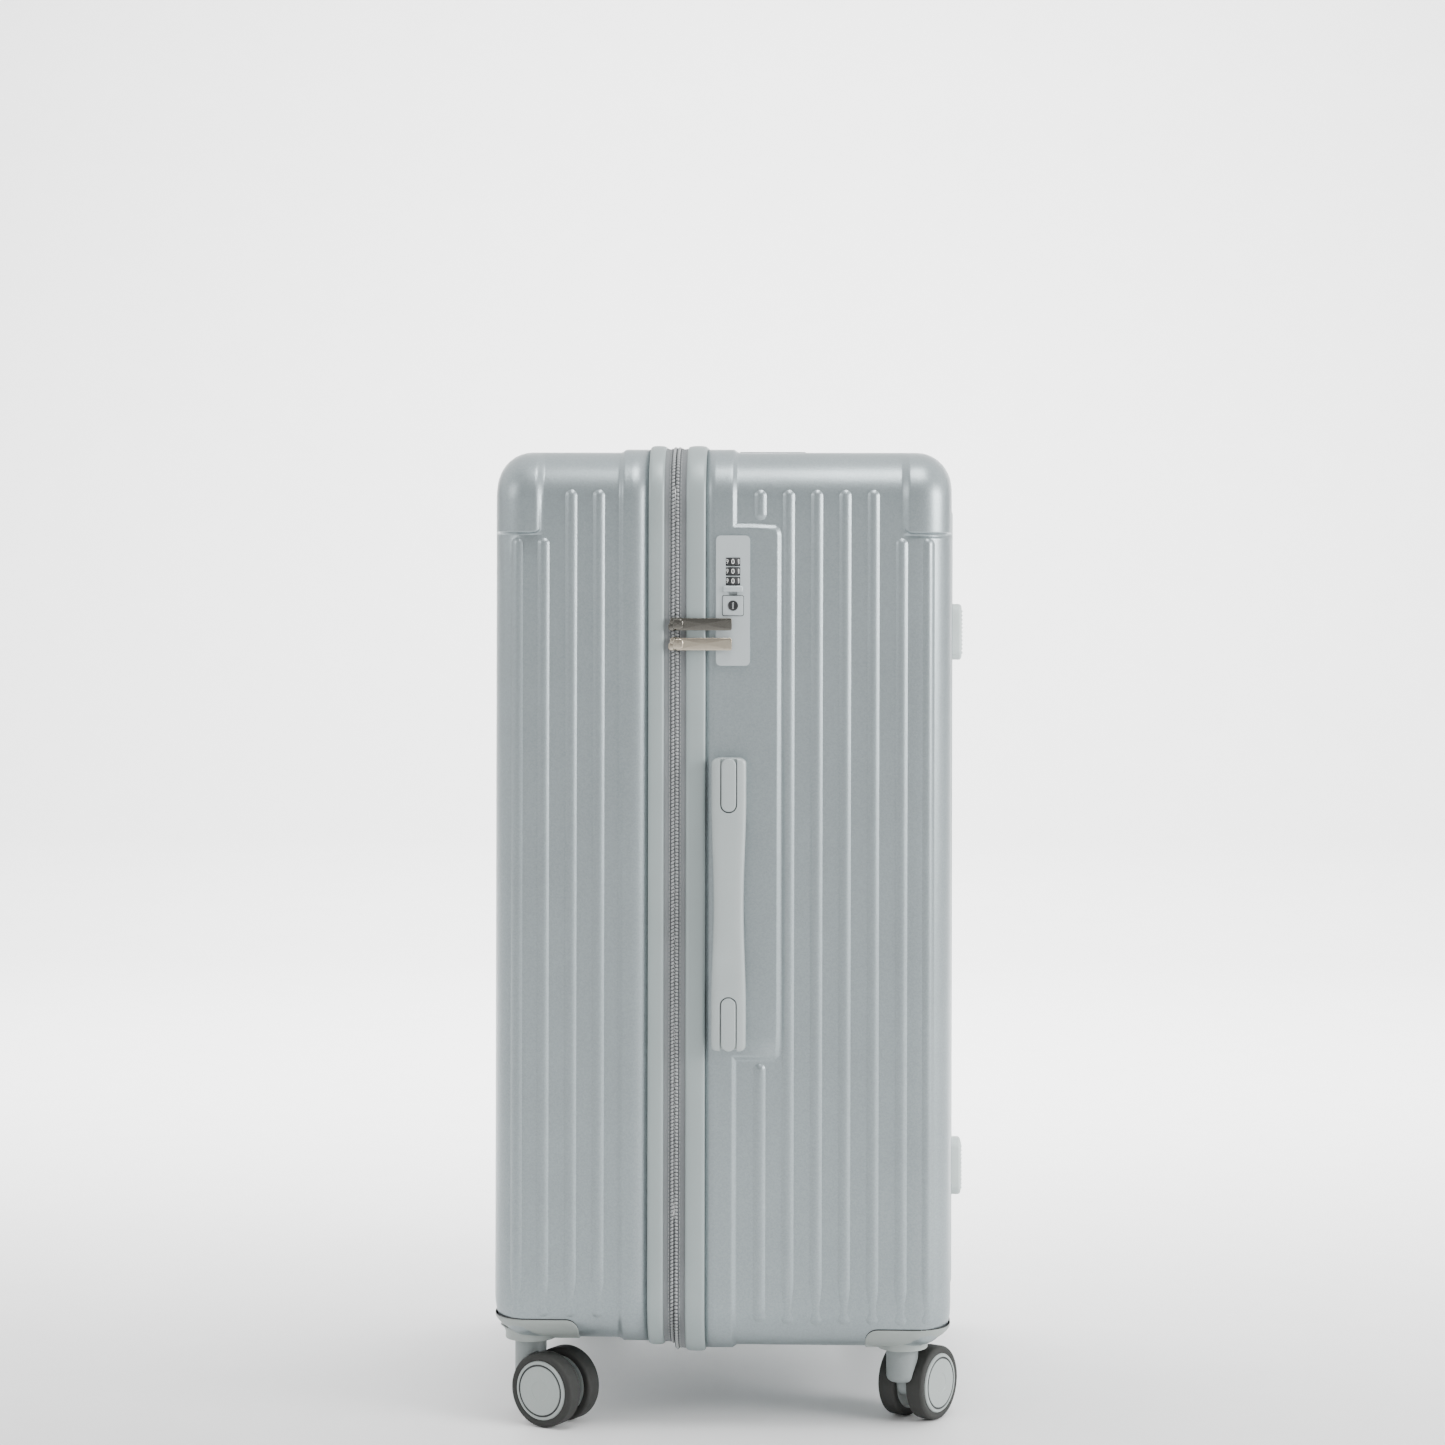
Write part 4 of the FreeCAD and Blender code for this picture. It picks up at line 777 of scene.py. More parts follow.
def bead(low: float, high: float, half: float, steps: int, digits: int = 3) -> tuple[Array, Array, Array]:
    """A long bead with round ends, in plan and in section.

    In plan the width falls to nothing over each end by a half circle. The height is a flattened
    dome of the distance to the bead's middle line.

    Args:
        low: lower end.
        high: upper end.
        half: half its width.
        steps: samples between the ends.
        digits: decimals that tell two samples apart.

    Returns:
        Places along it, and at each place the offsets across it and the height from 0 to 1.
    """
    end = half * (1 - np.sin(np.linspace(0, RIGHT, 7)))
    run = np.concatenate([low + end, np.linspace(low + half, high - half, steps), high - end])
    run = np.unique(np.round(run, digits))
    past = np.maximum(np.maximum(low + half - run, run - (high - half)), 0)[:, None]
    across = np.sqrt(np.maximum(half * half - past**2, 0)) * np.sin(np.linspace(-RIGHT, RIGHT, 13))
    far = np.clip(np.hypot(across, past) / half, 0, 1)
    return run, across, (1 - far**2.2) ** 1.25


# ---------------------------------------------------------------- shells, rims and zip

# Ribs of the narrow sides: X, lower end and upper end.
RIBS = {
    REAR: ((30.7, 738, 763), (30.7, 90, 300), (53.5, 88, 763), (76.3, 88, 763), (99.1, 88, 763),
           (121.9, 88, 763), (144.7, 88, 724), (166.5, 88, 724)),
    FRONT: ((-100.0, 92, 763), (-122.4, 92, 763), (-144.8, 92, 724), (-166.4, 92, 724)),
}


@dataclass
class Shell(Half):
    """One half's hard skin: base, band, raised panel, corner caps and upright ribs."""

    wall: float = 1.2
    band_rise: float = 2.5
    band_edge: float = 0.0
    band_soft: float = 2.4
    cap_rise: float = 3.2
    cap_x: float = 145.0
    cap_z: float = 728.0
    cap_y: float = 207.0
    cap_round: float = 9.0
    cap_groove: float = 1.1
    rib_half: float = 5.0
    rib_rise: float = 2.0
    rib_sunk: float = 0.05
    face_pitch: float = 22.8
    face_pairs: int = 8
    face_z: tuple[float, float] = (112.0, 748.0)
    face_sunk: float = 1.5
    panel_x: tuple[float, float] = (-13.0, 46.0)
    panel_z: tuple[float, float] = (304.0, 734.0)
    panel_round: float = 8.0
    windows: tuple[Window, ...] = ()

    def relief(self, x: Array, y: Array, z: Array, slope: Array) -> Array:
        """Height of the skin over its base.

        The band and the panel fall to the base by a cubic step. A cap fills each upper corner of
        the narrow sides, over a round-cornered lower edge with a groove below it, and it fades
        out over the top and the end face.

        Args:
            x: X of each point of the base.
            y: Y of each point.
            z: height of each point.
            slope: angle by which the skin has turned towards the end face.

        Returns:
            The height at each point.
        """
        h = self.half_side
        band = smooth_step(h * (self.band_edge - x), self.band_soft) * self.band_rise
        if h == REAR:
            (x0, x1), (z0, z1), r = self.panel_x, self.panel_z, self.panel_round
            gap = box_distance(x, z, ((x0 + x1) / 2 - r, (z0 + z1) / 2), ((x1 - x0) / 2 + r, (z1 - z0) / 2), r)
            on_side = np.abs(y) > self.case.half - 2
            panel = np.where(on_side, smooth_step(-gap, self.band_soft) * self.band_rise, 0)
            band = np.maximum(band, panel)
        reach = smooth_step(h * x - self.cap_x - 3.0, 4.0) * np.clip(np.cos(slope) * 1.6, 0, 1)
        inner = box_distance(h * x, z, (self.cap_x + 50, self.cap_z + 60), (50, 60), self.cap_round)
        cap = smooth_step(-inner, 0.7) * smooth_step(np.abs(y) - self.cap_y, 15.0) * reach * self.cap_rise
        below = (np.abs(y) > self.cap_y - 7) & (z < self.cap_z)
        cap = cap - self.cap_groove * np.exp(-(((z - self.cap_z + 2.0) / 1.5) ** 2)) * reach * below
        return np.where(np.abs(cap) > band, cap, band) - self.face_sunk * np.sin(slope) ** 2

    def skin(self) -> tuple[Array, Array]:
        """Points of the whole skin, and which cells stay where the windows are open.

        The outline is carried from the seam to the end, drawn in by a quarter circle at the
        edge, and then scaled to nothing over the end face.

        Returns:
            The points and the mask of cells.
        """
        c, h = self.case, self.half_side
        flats = [178.0, -178.0]
        sides = [self.cap_z, *self.panel_z] if h == REAR else [self.cap_z]
        places = [self.band_edge, h * self.cap_x, h * (self.cap_x + 5)]
        if h == REAR:
            places.append(self.panel_x[1])
        for face, a0, a1, b0, b1 in self.windows:
            (sides if face == NEAR else flats).extend((b0, b1))
            places.extend((a0, a1))
        loop = c.loop(h, tuple(flats), tuple(sides), 24.0, 10)
        near_zip = self.case.box(self.name + "_rim")
        start = near_zip.high[0] if h == REAR else near_zip.low[0]
        run = near_steps(tuple(places), *sorted((start, h * (c.end - c.edge_round))), 14.0)[::h]
        x, slope, inset, scale = c.wrap(h, run, turns=10, rings=6)
        ring = c.carry(loop, h, inset, scale)
        xs, slopes = np.broadcast_to(x, ring.shape[:2]), np.broadcast_to(slope, ring.shape[:2])
        rise = self.relief(xs, ring[..., 0], ring[..., 1], slopes)
        points = np.concatenate([xs[..., None], ring], -1) + tilted(h, slopes, loop.out) * rise[..., None]
        return points, c.uncut(points, self.windows, 2.0)

    def rib(self, x: float, low: float, high: float, side: int) -> Array:
        """An upright rib on a narrow side.

        It follows the skin round the end's rounding and the outline's lower corner, and fades
        towards the underside.

        Args:
            x: X of its middle line.
            low: lower end.
            high: upper end.
            side: NEAR or FAR.

        Returns:
            Its points.
        """
        run, across, dome = bead(low, high, self.rib_half, 26)
        xs = x + across
        inset, slope = self.case.edge(xs)
        foot, out = self.case.side_point(run, side, self.half_side)
        fade = np.clip((run - self.case.low(self.half_side) - 12) / 26, 0.15, 1)[:, None]
        base = np.concatenate([xs[..., None], foot[:, None] - out[:, None] * inset[..., None]], -1)
        height = (self.rib_rise * dome - self.rib_sunk) * fade - self.face_sunk * np.sin(slope) ** 2
        return base + tilted(self.half_side, slope, out) * height[..., None]

    def face_rib(self, y: float) -> Array:
        """An upright rib on the broad end face, at Y."""
        run, across, dome = bead(*self.face_z, self.rib_half, 12, digits=12)
        x = self.half_side * (self.case.end - self.face_sunk + self.face_sunk * dome - self.rib_sunk)
        return np.stack([x, y + across, np.broadcast_to(run[:, None], x.shape)], -1)

    def build(self) -> None:
        """Make the skin and its ribs."""
        centre = self.case.core(self.half_side * 60.0)
        points, keep = self.skin()
        work = Mesher(self.name + "_shell_skin", self.case).grid(points, inside=centre, keep=keep)
        work.make(SHELL, body=self.body, replaces=(self.name + "_shell",), wall=self.wall, sharp=60)
        beads = Mesher(self.name + "_shell_ribs", self.case)
        for x, low, high in RIBS[self.half_side]:
            for side in Side:
                beads.grid(self.rib(x, low, high, side), inside=centre)
        for k in range(self.face_pairs):
            for side in Side:
                beads.grid(self.face_rib(side * self.face_pitch * (k + 0.5)), inside=centre)
        beads.make(SHELL, body=self.body, sharp=70)


@dataclass
class ZipEdge(Half):
    """One half's rim, zip tape and row of coil teeth, all carried round its outline."""

    tape_half: float = 8.5
    rim_rise: float = 5.5
    rim_floor: float = -2.0
    rim_inset: float = 0.25
    tape_rise: float = 3.1
    tooth_pitch: float = 2.9
    stitch_pitch: float = 3.4

    def ring(self, loop: Loop, x: Array, offset: Array) -> Array:
        """Carry a profile of X and offset round the outline; either may vary along it."""
        shape = (len(loop.foot), x.shape[-1])
        x, offset = np.broadcast_to(x, shape), np.broadcast_to(offset, shape)
        path = loop.foot[:, None] + loop.out[:, None] * offset[..., None]
        return np.concatenate([x[..., None], path], -1)

    def rim(self) -> None:
        """The rim: a rounded bead, undercut where it meets the skin.

        The section is a superellipse of exponent 5 over the rim's width and height.
        """
        box = self.case.box(self.name + "_rim")
        t = np.linspace(0, ROUND, 41)
        c, s = np.cos(t), np.sin(t)
        mid, half = box.mid[0], box.size[0] / 2 - self.rim_inset
        top, floor = self.rim_rise, self.rim_floor
        x = mid + half * np.sign(c) * np.abs(c) ** (2 / 5)
        offset = (top + floor) / 2 + (top - floor) / 2 * np.sign(s) * np.abs(s) ** (2 / 5)
        offset = offset - 0.5 * ((x - mid) / half) ** 2 * (s > 0)
        loop = self.case.loop(self.half_side, turns=16)
        work = Mesher(self.name + "_rim_bead", self.case).grid(self.ring(loop, x, offset))
        work.make(RIM, body=self.body, replaces=(self.name + "_rim",), sharp=60)

    def tape(self) -> None:
        """The woven tape: flat between rim and teeth, with soft puckers at the lower corner."""
        h, zx = self.half_side, self.case.zip_x
        v = np.linspace(0, 1, 9)
        x = zx + h * (0.2 + (self.tape_half + 0.7) * v)
        loop = self.case.loop(h, sides=(150.0, 640.0), coarse=9.0, turns=26)
        run = loop.run()[:, None]
        corner = np.clip(1 - np.abs(loop.foot[:, 1:] - self.case.low(h) - 25) / 60, 0, 1)
        wave = (np.sin(run / 7.5) + 0.6 * np.sin(run / 3.9 + 1.3)) * 0.28 * corner * np.sin(math.pi * v)[None]
        dip = -0.35 * np.sin(math.pi * v)[None] ** 2
        top = self.tape_rise + wave + dip
        work = Mesher(self.name + "_zip_tape_cloth", self.case)
        work.grid(self.ring(loop, x, top), inside=self.case.core())
        work.make(TAPE, body=self.body, replaces=(self.name + "_zip_tape",), wall=1.4, sharp=70)

    def row(self, beside: float, half_wide: float, pitch: float, length: float, rise: float,
            seat: float, lean: float = 0.0) -> Array:
        """Small domes repeated round the outline at an even pitch.

        Args:
            beside: distance of the row from the zip's middle.
            half_wide: half a dome's width.
            pitch: distance between domes.
            length: length of a dome along the outline.
            rise: height of a dome.
            seat: height of its foot over the case.
            lean: slant of a dome along the outline over its width.

        Returns:
            Points of all the domes: (copies, u, v, 3).
        """
        h = self.half_side
        loop = self.case.loop(h, coarse=3.0, turns=40)
        run = loop.run()
        places = np.arange(0, run[-1] - pitch * 0.5, run[-1] / round(run[-1] / pitch))
        foot = np.stack([np.interp(places, run, loop.foot[:, k]) for k in (0, 1)], -1)
        out = np.stack([np.interp(places, run, loop.out[:, k]) for k in (0, 1)], -1)
        out /= np.linalg.norm(out, axis=1)[:, None]
        way = np.stack([-out[:, 1], out[:, 0]], -1)
        a = np.linspace(-1, 1, 5)
        dome = np.sqrt(np.maximum(1 - a**2, 0))
        across, along = np.meshgrid(a, a, indexing="ij")
        height = rise * np.minimum(1, 1.25 * (dome[:, None] * dome[None]))
        x = self.case.zip_x + h * (beside + across * half_wide)
        slide = along * length / 2 + lean * across
        raised = out[:, None, None] * (seat + height)[None, ..., None]
        flat = foot[:, None, None] + way[:, None, None] * slide[None, ..., None] + raised
        return np.concatenate([np.broadcast_to(x[None, ..., None], (*flat.shape[:3], 1)), flat], -1)

    def teeth(self) -> None:
        """The coil: one rounded turn after another, over a dark strip of painted shade that shows between the turns,
        with a row of stitches beside it.
        """
        work = Mesher(self.name + "_zip_coil", self.case)
        middle = self.case.core()
        coil = self.row(1.75, 1.3, self.tooth_pitch, 2.5, 1.2, self.tape_rise + 0.1, 0.4)
        work.grid(coil, inside=middle)
        loop = self.case.loop(self.half_side, coarse=9.0, turns=24)
        # A dark strip under the coil that shows in the gaps between its turns and along the middle: painted shade.
        x = self.case.zip_x + self.half_side * np.array([0.12, 0.4, 3.3, 3.6])
        work.grid(self.ring(loop, x, np.array([3.1, 3.35, 3.35, 3.0])), inside=middle, tag=1)
        work.grid(self.row(4.4, 0.3, self.stitch_pitch, 2.4, 0.4, self.tape_rise - 0.15), inside=middle)
        work.make(COIL, ZIP_GAP_SHADE, body=self.body, replaces=(self.name + "_zip_teeth",), sharp=70)

    def build(self) -> None:
        """Make the rim, the tape and the teeth."""
        self.rim()
        self.tape()
        self.teeth()


# ---------------------------------------------------------------- handles

@dataclass
class Handle:
    """A lifting handle: waisted grip, two bases and the tongues that guide it."""

    case: Case
    name: str
    seat: Seat
    length: float = 235.0
    end_half: float = 14.0
    waist_half: float = 12.0
    low: float = 7.5
    high: float = 18.5
    arch: float = 8.5
    gap: float = 126.0
    plan_round: float = 4.5
    squareness: float = 3.6
    tongue: tuple[float, float] = (12.0, 43.0)

    def grip_points(self) -> Array:
        """The grip as sections along its length.

        Each section is a superellipse; its half width eases from the ends to the waist by a
        cosine, its underside rises to the arch, and both ends round off in plan.
        """
        reach = self.length / 2
        tip = reach - self.plan_round * (1 - np.sin(np.linspace(0, RIGHT, 8)))
        plain = reach - self.plan_round
        b = np.unique(np.concatenate([-tip, tip, np.linspace(-plain, plain, 41)]))
        t = np.clip(np.abs(b) / (reach * 0.72), 0, 1)
        half = self.waist_half + (self.end_half - self.waist_half) * (0.5 - 0.5 * np.cos(math.pi * t))
        past = np.clip(np.abs(b) - plain, 0, self.plan_round)
        drawn = np.sqrt(np.maximum(self.plan_round**2 - past**2, 0))
        half = half - self.plan_round + drawn
        under = self.low + (self.arch - self.low) * smooth_step(self.gap / 2 - np.abs(b), 3.0)
        top = self.high - 1.3 * t**2 - 1.6 * (1 - drawn / self.plan_round) ** 2
        u = np.linspace(0, ROUND, 33)
        c, s = np.cos(u), np.sin(u)
        power = 2 / self.squareness
        a = half[:, None] * (np.sign(c) * np.abs(c) ** power)[None]
        n = ((top + under) / 2)[:, None] + ((top - under) / 2)[:, None] * (np.sign(s) * np.abs(s) ** power)[None]
        pole, end = np.zeros((1, 33)), np.full((1, 33), reach)
        a = np.concatenate([pole, a, pole])
        n = np.concatenate([pole + (top[0] + under[0]) / 2, n, pole + (top[0] + under[0]) / 2])
        b = np.concatenate([-end, np.broadcast_to(b[:, None], (len(b), 33)), end])
        return self.seat.at(a, b, n)

    def tongue_seat(self, end: int) -> Seat:
        """The middle of the tongue at one end."""
        return self.seat.moved(b=end * (self.length / 2 - self.tongue[1] / 2))

    def build(self) -> None:
        """Make the grip with its slots cut, and for the side handle the bases and their tongues."""
        grip = Mesher(self.name + "_grip_bar", self.case).grid(self.grip_points())
        bar = grip.make(GRIP, body=self.name + "_grip", replaces=(self.name + "_grip",), sharp=50)
        for end in Side:
            cutter = Mesher(f"{self.name}_cutter", self.case).grid(
                slab(self.tongue_seat(end).moved(b=end * 6.2), self.tongue[0] + 1.7, self.tongue[1] + 14.0,
                     -4.0, 26.0, 6.8, 0.4))
            tool = cutter.make(DARK_JOINT_AND_SHADE, body="rear_half")
            cut = bar.modifiers.new("slot", "BOOLEAN")
            cut.object, cut.operation, cut.solver = tool, "DIFFERENCE", "EXACT"
            bpy.context.view_layer.update()
            graph = bpy.context.evaluated_depsgraph_get()
            fresh = bpy.data.meshes.new_from_object(bar.evaluated_get(graph))
            bar.modifiers.clear()
            bar.data = fresh
            bpy.data.objects.remove(tool)
        bar.data.set_sharp_from_angle(angle=math.radians(45))
        if self.name == "side_handle":
            bases = Mesher(self.name + "_base_pads", self.case)
            for end in Side:
                foot = self.seat.moved(b=end * (self.length / 2 - 24))
                bases.grid(slab(foot, 26.0, 48.0, -1.0, 7.2, 5.0, 1.0))
                bases.grid(slab(self.tongue_seat(end), self.tongue[0], self.tongue[1], 0.0, 17.3, 6.0, 1.0, 0.2))
            bases.make(GRIP, body="rear_half", replaces=(self.name + "_bases",), sharp=50)


# ---------------------------------------------------------------- lock and sliders

@dataclass
class Lock:
    """The lock: its plate, number dials, release ledge and key cylinder."""

    case: Case
    digit_size: float = 5.805
    notches: int = 30
    notch_deep: float = 0.22
    ledge: tuple[float, float] = (16.0, 5.0)
    key_plate: tuple[float, float] = (16.6, 15.8)
    key_slot: tuple[float, float] = (1.3, 5.2)

    def seat(self) -> Seat:
        """The middle of the plate's outer face."""
        box = self.case.box("lock_plate")
        return Seat((box.mid[0], box.low[1], box.mid[2]), (1, 0, 0), (0, 0, 1), (0, -1, 0))

    def dial(self, index: int) -> None:
        """A dial: a drum with a fine notched edge, and ten digits painted round it."""
        name = f"lock_dial_{index}"
        box = self.case.box(name)
        r = box.size[0] / 2
        seat = Seat(tuple(box.mid), (1, 0, 0), (0, 1, 0), (0, 0, 1))
        angle = np.linspace(0, ROUND, 121)[:, None]
        height = box.size[2] / 2 * np.array([-1, -1, -0.93, -0.8, 0, 0.8, 0.93, 1, 1])
        radius = r * np.array([0, 0.93, 0.985, 1, 1, 1, 0.985, 0.93, 0])
        depth = self.notch_deep * np.array([0, 0, 1, 0.6, 0, 0.6, 1, 0, 0])
        notched = radius[None] - (0.5 + 0.5 * np.cos(self.notches * angle)) * depth[None]
        grid = seat.at(np.cos(angle) * notched, np.sin(angle) * notched, height[None])
        drum = Mesher(name + "_drum", self.case).grid(grid)
        drum.make(DIAL_BLACK_AND_HOLE_SHADE, body=name, replaces=(name,), sharp=50)
        self.digits(name, seat, r + 0.02)

    def digits(self, name: str, seat: Seat, radius: float) -> None:
        """Ten digits wrapped round the drum: X across a digit becomes an angle of X over radius.

        Args:
            name: the dial.
            seat: its middle, with outwards along its axis.
            radius: how far from the axis the digits lie.
        """
        parts, faces, start = [], [], 0
        for value in range(10):
            text = bpy.data.curves.new(f"{name}_text", "FONT")
            text.body, text.size, text.resolution_u = str(value), self.digit_size, 3
            text.align_x = text.align_y = "CENTER"
            thing = bpy.data.objects.new(f"{name}_text", text)
            bpy.context.scene.collection.objects.link(thing)
            bpy.context.view_layer.update()
            graph = bpy.context.evaluated_depsgraph_get()
            flat = bpy.data.meshes.new_from_object(thing.evaluated_get(graph))
            points = np.empty(len(flat.vertices) * 3)
            flat.vertices.foreach_get("co", points)
            points = points.reshape(-1, 3)
            turn = -RIGHT + value * math.pi / 5 + points[:, 0] / radius
            parts.append(seat.at(np.cos(turn) * radius, np.sin(turn) * radius, points[:, 1]))
            faces += [tuple(v + start for v in face.vertices) for face in flat.polygons]
            start += len(points)
            bpy.data.objects.remove(thing)
            bpy.data.curves.remove(text)
            bpy.data.meshes.remove(flat)
        mesh = bpy.data.meshes.new(name + "_digits")
        mesh.from_pydata(self.case.put(np.concatenate(parts)), [], faces)
        piece = bpy.data.objects.new(name + "_digits", mesh)
        bpy.context.scene.collection.objects.link(piece)
        mesh.materials.append(DIGIT.material())
        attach(piece, name)

    def build(self) -> None:
        """Make the dials, the ledge, the key plate and the key cylinder, and dress the plate."""
        for index in (1, 2, 3):
            self.dial(index)
        dress("lock_plate", LOCK)
        seat = self.seat()
        above = seat.moved(b=self.case.box("release_button").mid[2] - seat.middle[2])
        ledge = Mesher("release_ledge", self.case).grid(slab(above, *self.ledge, 0.05, 2.6, 1.4, 1.2, 0.3))
        ledge.make(LOCK, body="release_button", replaces=("release_button",), sharp=50)
        key = seat.moved(b=self.case.box("key_cylinder").mid[2] - seat.middle[2])
        wide, tall = self.key_plate
        plate = Mesher("key_plate", self.case)
        # The dark slab just wider than the key plate shows as a thin margin round it: painted shadow in the gap at its
        # edge.
        plate.grid(slab(key, wide + 1.0, tall + 1.0, -0.5, 0.25, 1.6, 0.2), tag=1)
        plate.grid(slab(key, wide, tall, -0.5, 0.8, 1.4, 0.4))
        plate.make(LOCK, DARK_JOINT_AND_SHADE, body="rear_half", sharp=50)
        barrel = Mesher("key_barrel", self.case)
        # The cylinder's black face is painted shade for the keyhole; the steel slab on it is the key slot.
        barrel.grid(lathe(key, np.array([0, 3.5, 3.5, 3.9, 4.2, 4.2, 0]),
                          np.array([0.95, 0.95, 1.0, 1.25, 0.9, -4.0, -4.0]), 40))
        barrel.grid(slab(key, *self.key_slot, 0.5, 1.1, 0.5, 0.1), tag=1)
        barrel.make(DIAL_BLACK_AND_HOLE_SHADE, STEEL, body="key_cylinder", replaces=("key_cylinder",), sharp=40)


@dataclass
class Pull:
    """One zip slider with its bridge, and the long pull tab that hangs on it."""

    case: Case
    which: str
    finish: Finish
    bridge_reach: float = 4.7
    bridge_rise: float = 4.3
    bridge_half: float = 1.3
    wire: float = 0.75
    tab_core: float = 0.55

    def slider(self) -> None:
        """Two domed slabs under a bridge, which is an arch swept by an ellipse."""
        name = f"zip_slider_{self.which}"
        box = self.case.box(name)
        seat = Seat((self.case.zip_x, box.high[1], box.mid[2]), (1, 0, 0), (0, 0, 1), (0, -1, 0))
        work = Mesher(name + "_body", self.case)
        for end in (-1, 1):
            work.grid(slab(seat.moved(b=end * 2.0), 9.6 - end * 1.2, 6.6, 0.0, 1.75, 2.6, 0.8, 0.35))
        t, u = np.linspace(0, math.pi, 25), np.linspace(0, ROUND, 13)[None]
        path = np.stack([self.bridge_reach * np.cos(t), 1.2 + self.bridge_rise * np.sin(t) ** 0.8], -1)
        way = np.gradient(path, axis=0)
        way /= np.linalg.norm(way, axis=1)[:, None]
        b = path[:, :1] + self.wire * way[:, 1:] * np.cos(u)
        n = path[:, 1:] - self.wire * way[:, :1] * np.cos(u)
        work.grid(seat.at(self.bridge_half * np.sin(u), b, n))
        work.make(self.finish, body=name, replaces=(name,), sharp=50)

    def tab(self) -> None:
        """A thin slab that swells at its root."""
        name = f"pull_tab_{self.which}"
        box = self.case.box(name)
        seat = Seat(tuple(box.mid), (0, 0, 1), (1, 0, 0), (0, -1, 0))
        long, thick, wide = box.size
        half, core = thick / 2, thick / 2 * self.tab_core
        plate = Mesher(name + "_plate", self.case)
        plate.grid(slab(seat.moved(b=1.5), wide, long - 3.0, -core, core, 1.6, 0.4, 0.15, base_edge=0.3))
        plate.grid(slab(seat.moved(b=-long / 2 + 4.5), wide * 0.8, 8.5, -half, half, 2.4, 0.9, 0.1, base_edge=0.6))
        plate.make(self.finish, body=name, replaces=(name,), sharp=50)

    def build(self) -> None:
        """Make the slider and its tab."""
        self.slider()
        self.tab()


# ---------------------------------------------------------------- casters

@dataclass
class Wheel:
    """One wheel: a tyre with a rounded tread and a hub cap with a ring groove."""

    case: Case
    prefix: str
    letter: str
    radius: float = 30.0
    bore: float = 24.0
    width: float = 15.5
    tread_edge: float = 2.6
    cap_rise: float = 1.0
    groove: float = 20.5
    steps: int = 72

    def seat(self) -> Seat:
        """The wheel's middle plane, with outwards along its axle, away from the fork."""
        hub, axle = self.case.joint(f"{self.prefix}_spin_{self.letter}")
        mid = self.case.box(f"{self.prefix}_tyre_{self.letter}").mid
        axle /= np.linalg.norm(axle)
        if axle @ (mid - self.case.box(f"{self.prefix}_axle").mid) < 0:
            axle = -axle
        return Seat((mid[0], mid[1], hub[2]), (-axle[1], axle[0], 0.0), (0.0, 0.0, 1.0), tuple(axle))

    def tread(self) -> tuple[Array, Array]:
        """Radii and heights of the tyre: a ring whose outer edges are quarter circles."""
        w, bore, q = self.width / 2, self.bore, np.linspace(0, RIGHT, 6)
        out = self.radius - self.tread_edge + self.tread_edge * np.sin(q)
        level = w - self.tread_edge * (1 - np.cos(q))
        return (np.concatenate([[bore, bore + 1.2], out, out[::-1], [bore + 1.2, bore, bore]]),
                np.concatenate([[-w + 0.4, -w], -level, level[::-1], [w, w - 0.4, -w + 0.4]]))

    def build(self) -> None:
        """Make the tyre, the hub with its cap, and a dark ring in the cap's groove, which is painted shade."""
        seat, body = self.seat(), f"{self.prefix}_wheel_{self.letter}"
        Mesher(f"{body}_tread", self.case).grid(lathe(seat, *self.tread(), self.steps)).make(
            TYRE, body=body, replaces=(f"{self.prefix}_tyre_{self.letter}",), sharp=50)
        g, w, top = self.groove, self.width / 2, self.width / 2 + self.cap_rise
        radii = np.array([0, 3.3, 3.6, 3.6, 6.5, 7, 21.5, 22.2, 23.7, 23.9, 23.9, 23.2, g + 0.85, g + 0.8,
                          g - 0.8, g - 0.85, 17.0, 8.0, 7.6, 5.0, 0])
        under = [3 - w, 3 - w, 3 - w, -w, -w, 1.2 - w, 1.2 - w, -w, -w, -w]
        over = [-1.2, -0.35, 0, -0.9, -0.9, 0, 0.12, 0.18, -0.1, -0.1, -0.1]
        levels = np.array([*under, *(top + step for step in over)])
        Mesher(f"{body}_cap", self.case).grid(lathe(seat, radii, levels, self.steps)).make(
            HUB, body=body, replaces=(f"{self.prefix}_hub_{self.letter}",), sharp=35)
        # A dark ring laid in the floor of the cap's groove: painted shade in the recess.
        ring, floor = g + np.array([0.8, 0.7, -0.7, -0.8]), top - np.array([0.6, 0.35, 0.35, 0.6])
        dark = Mesher(f"{body}_groove", self.case)
        dark.grid(lathe(seat, ring, floor, self.steps), inside=np.array(seat.middle))
        dark.make(DARK_JOINT_AND_SHADE, body=body, sharp=50)


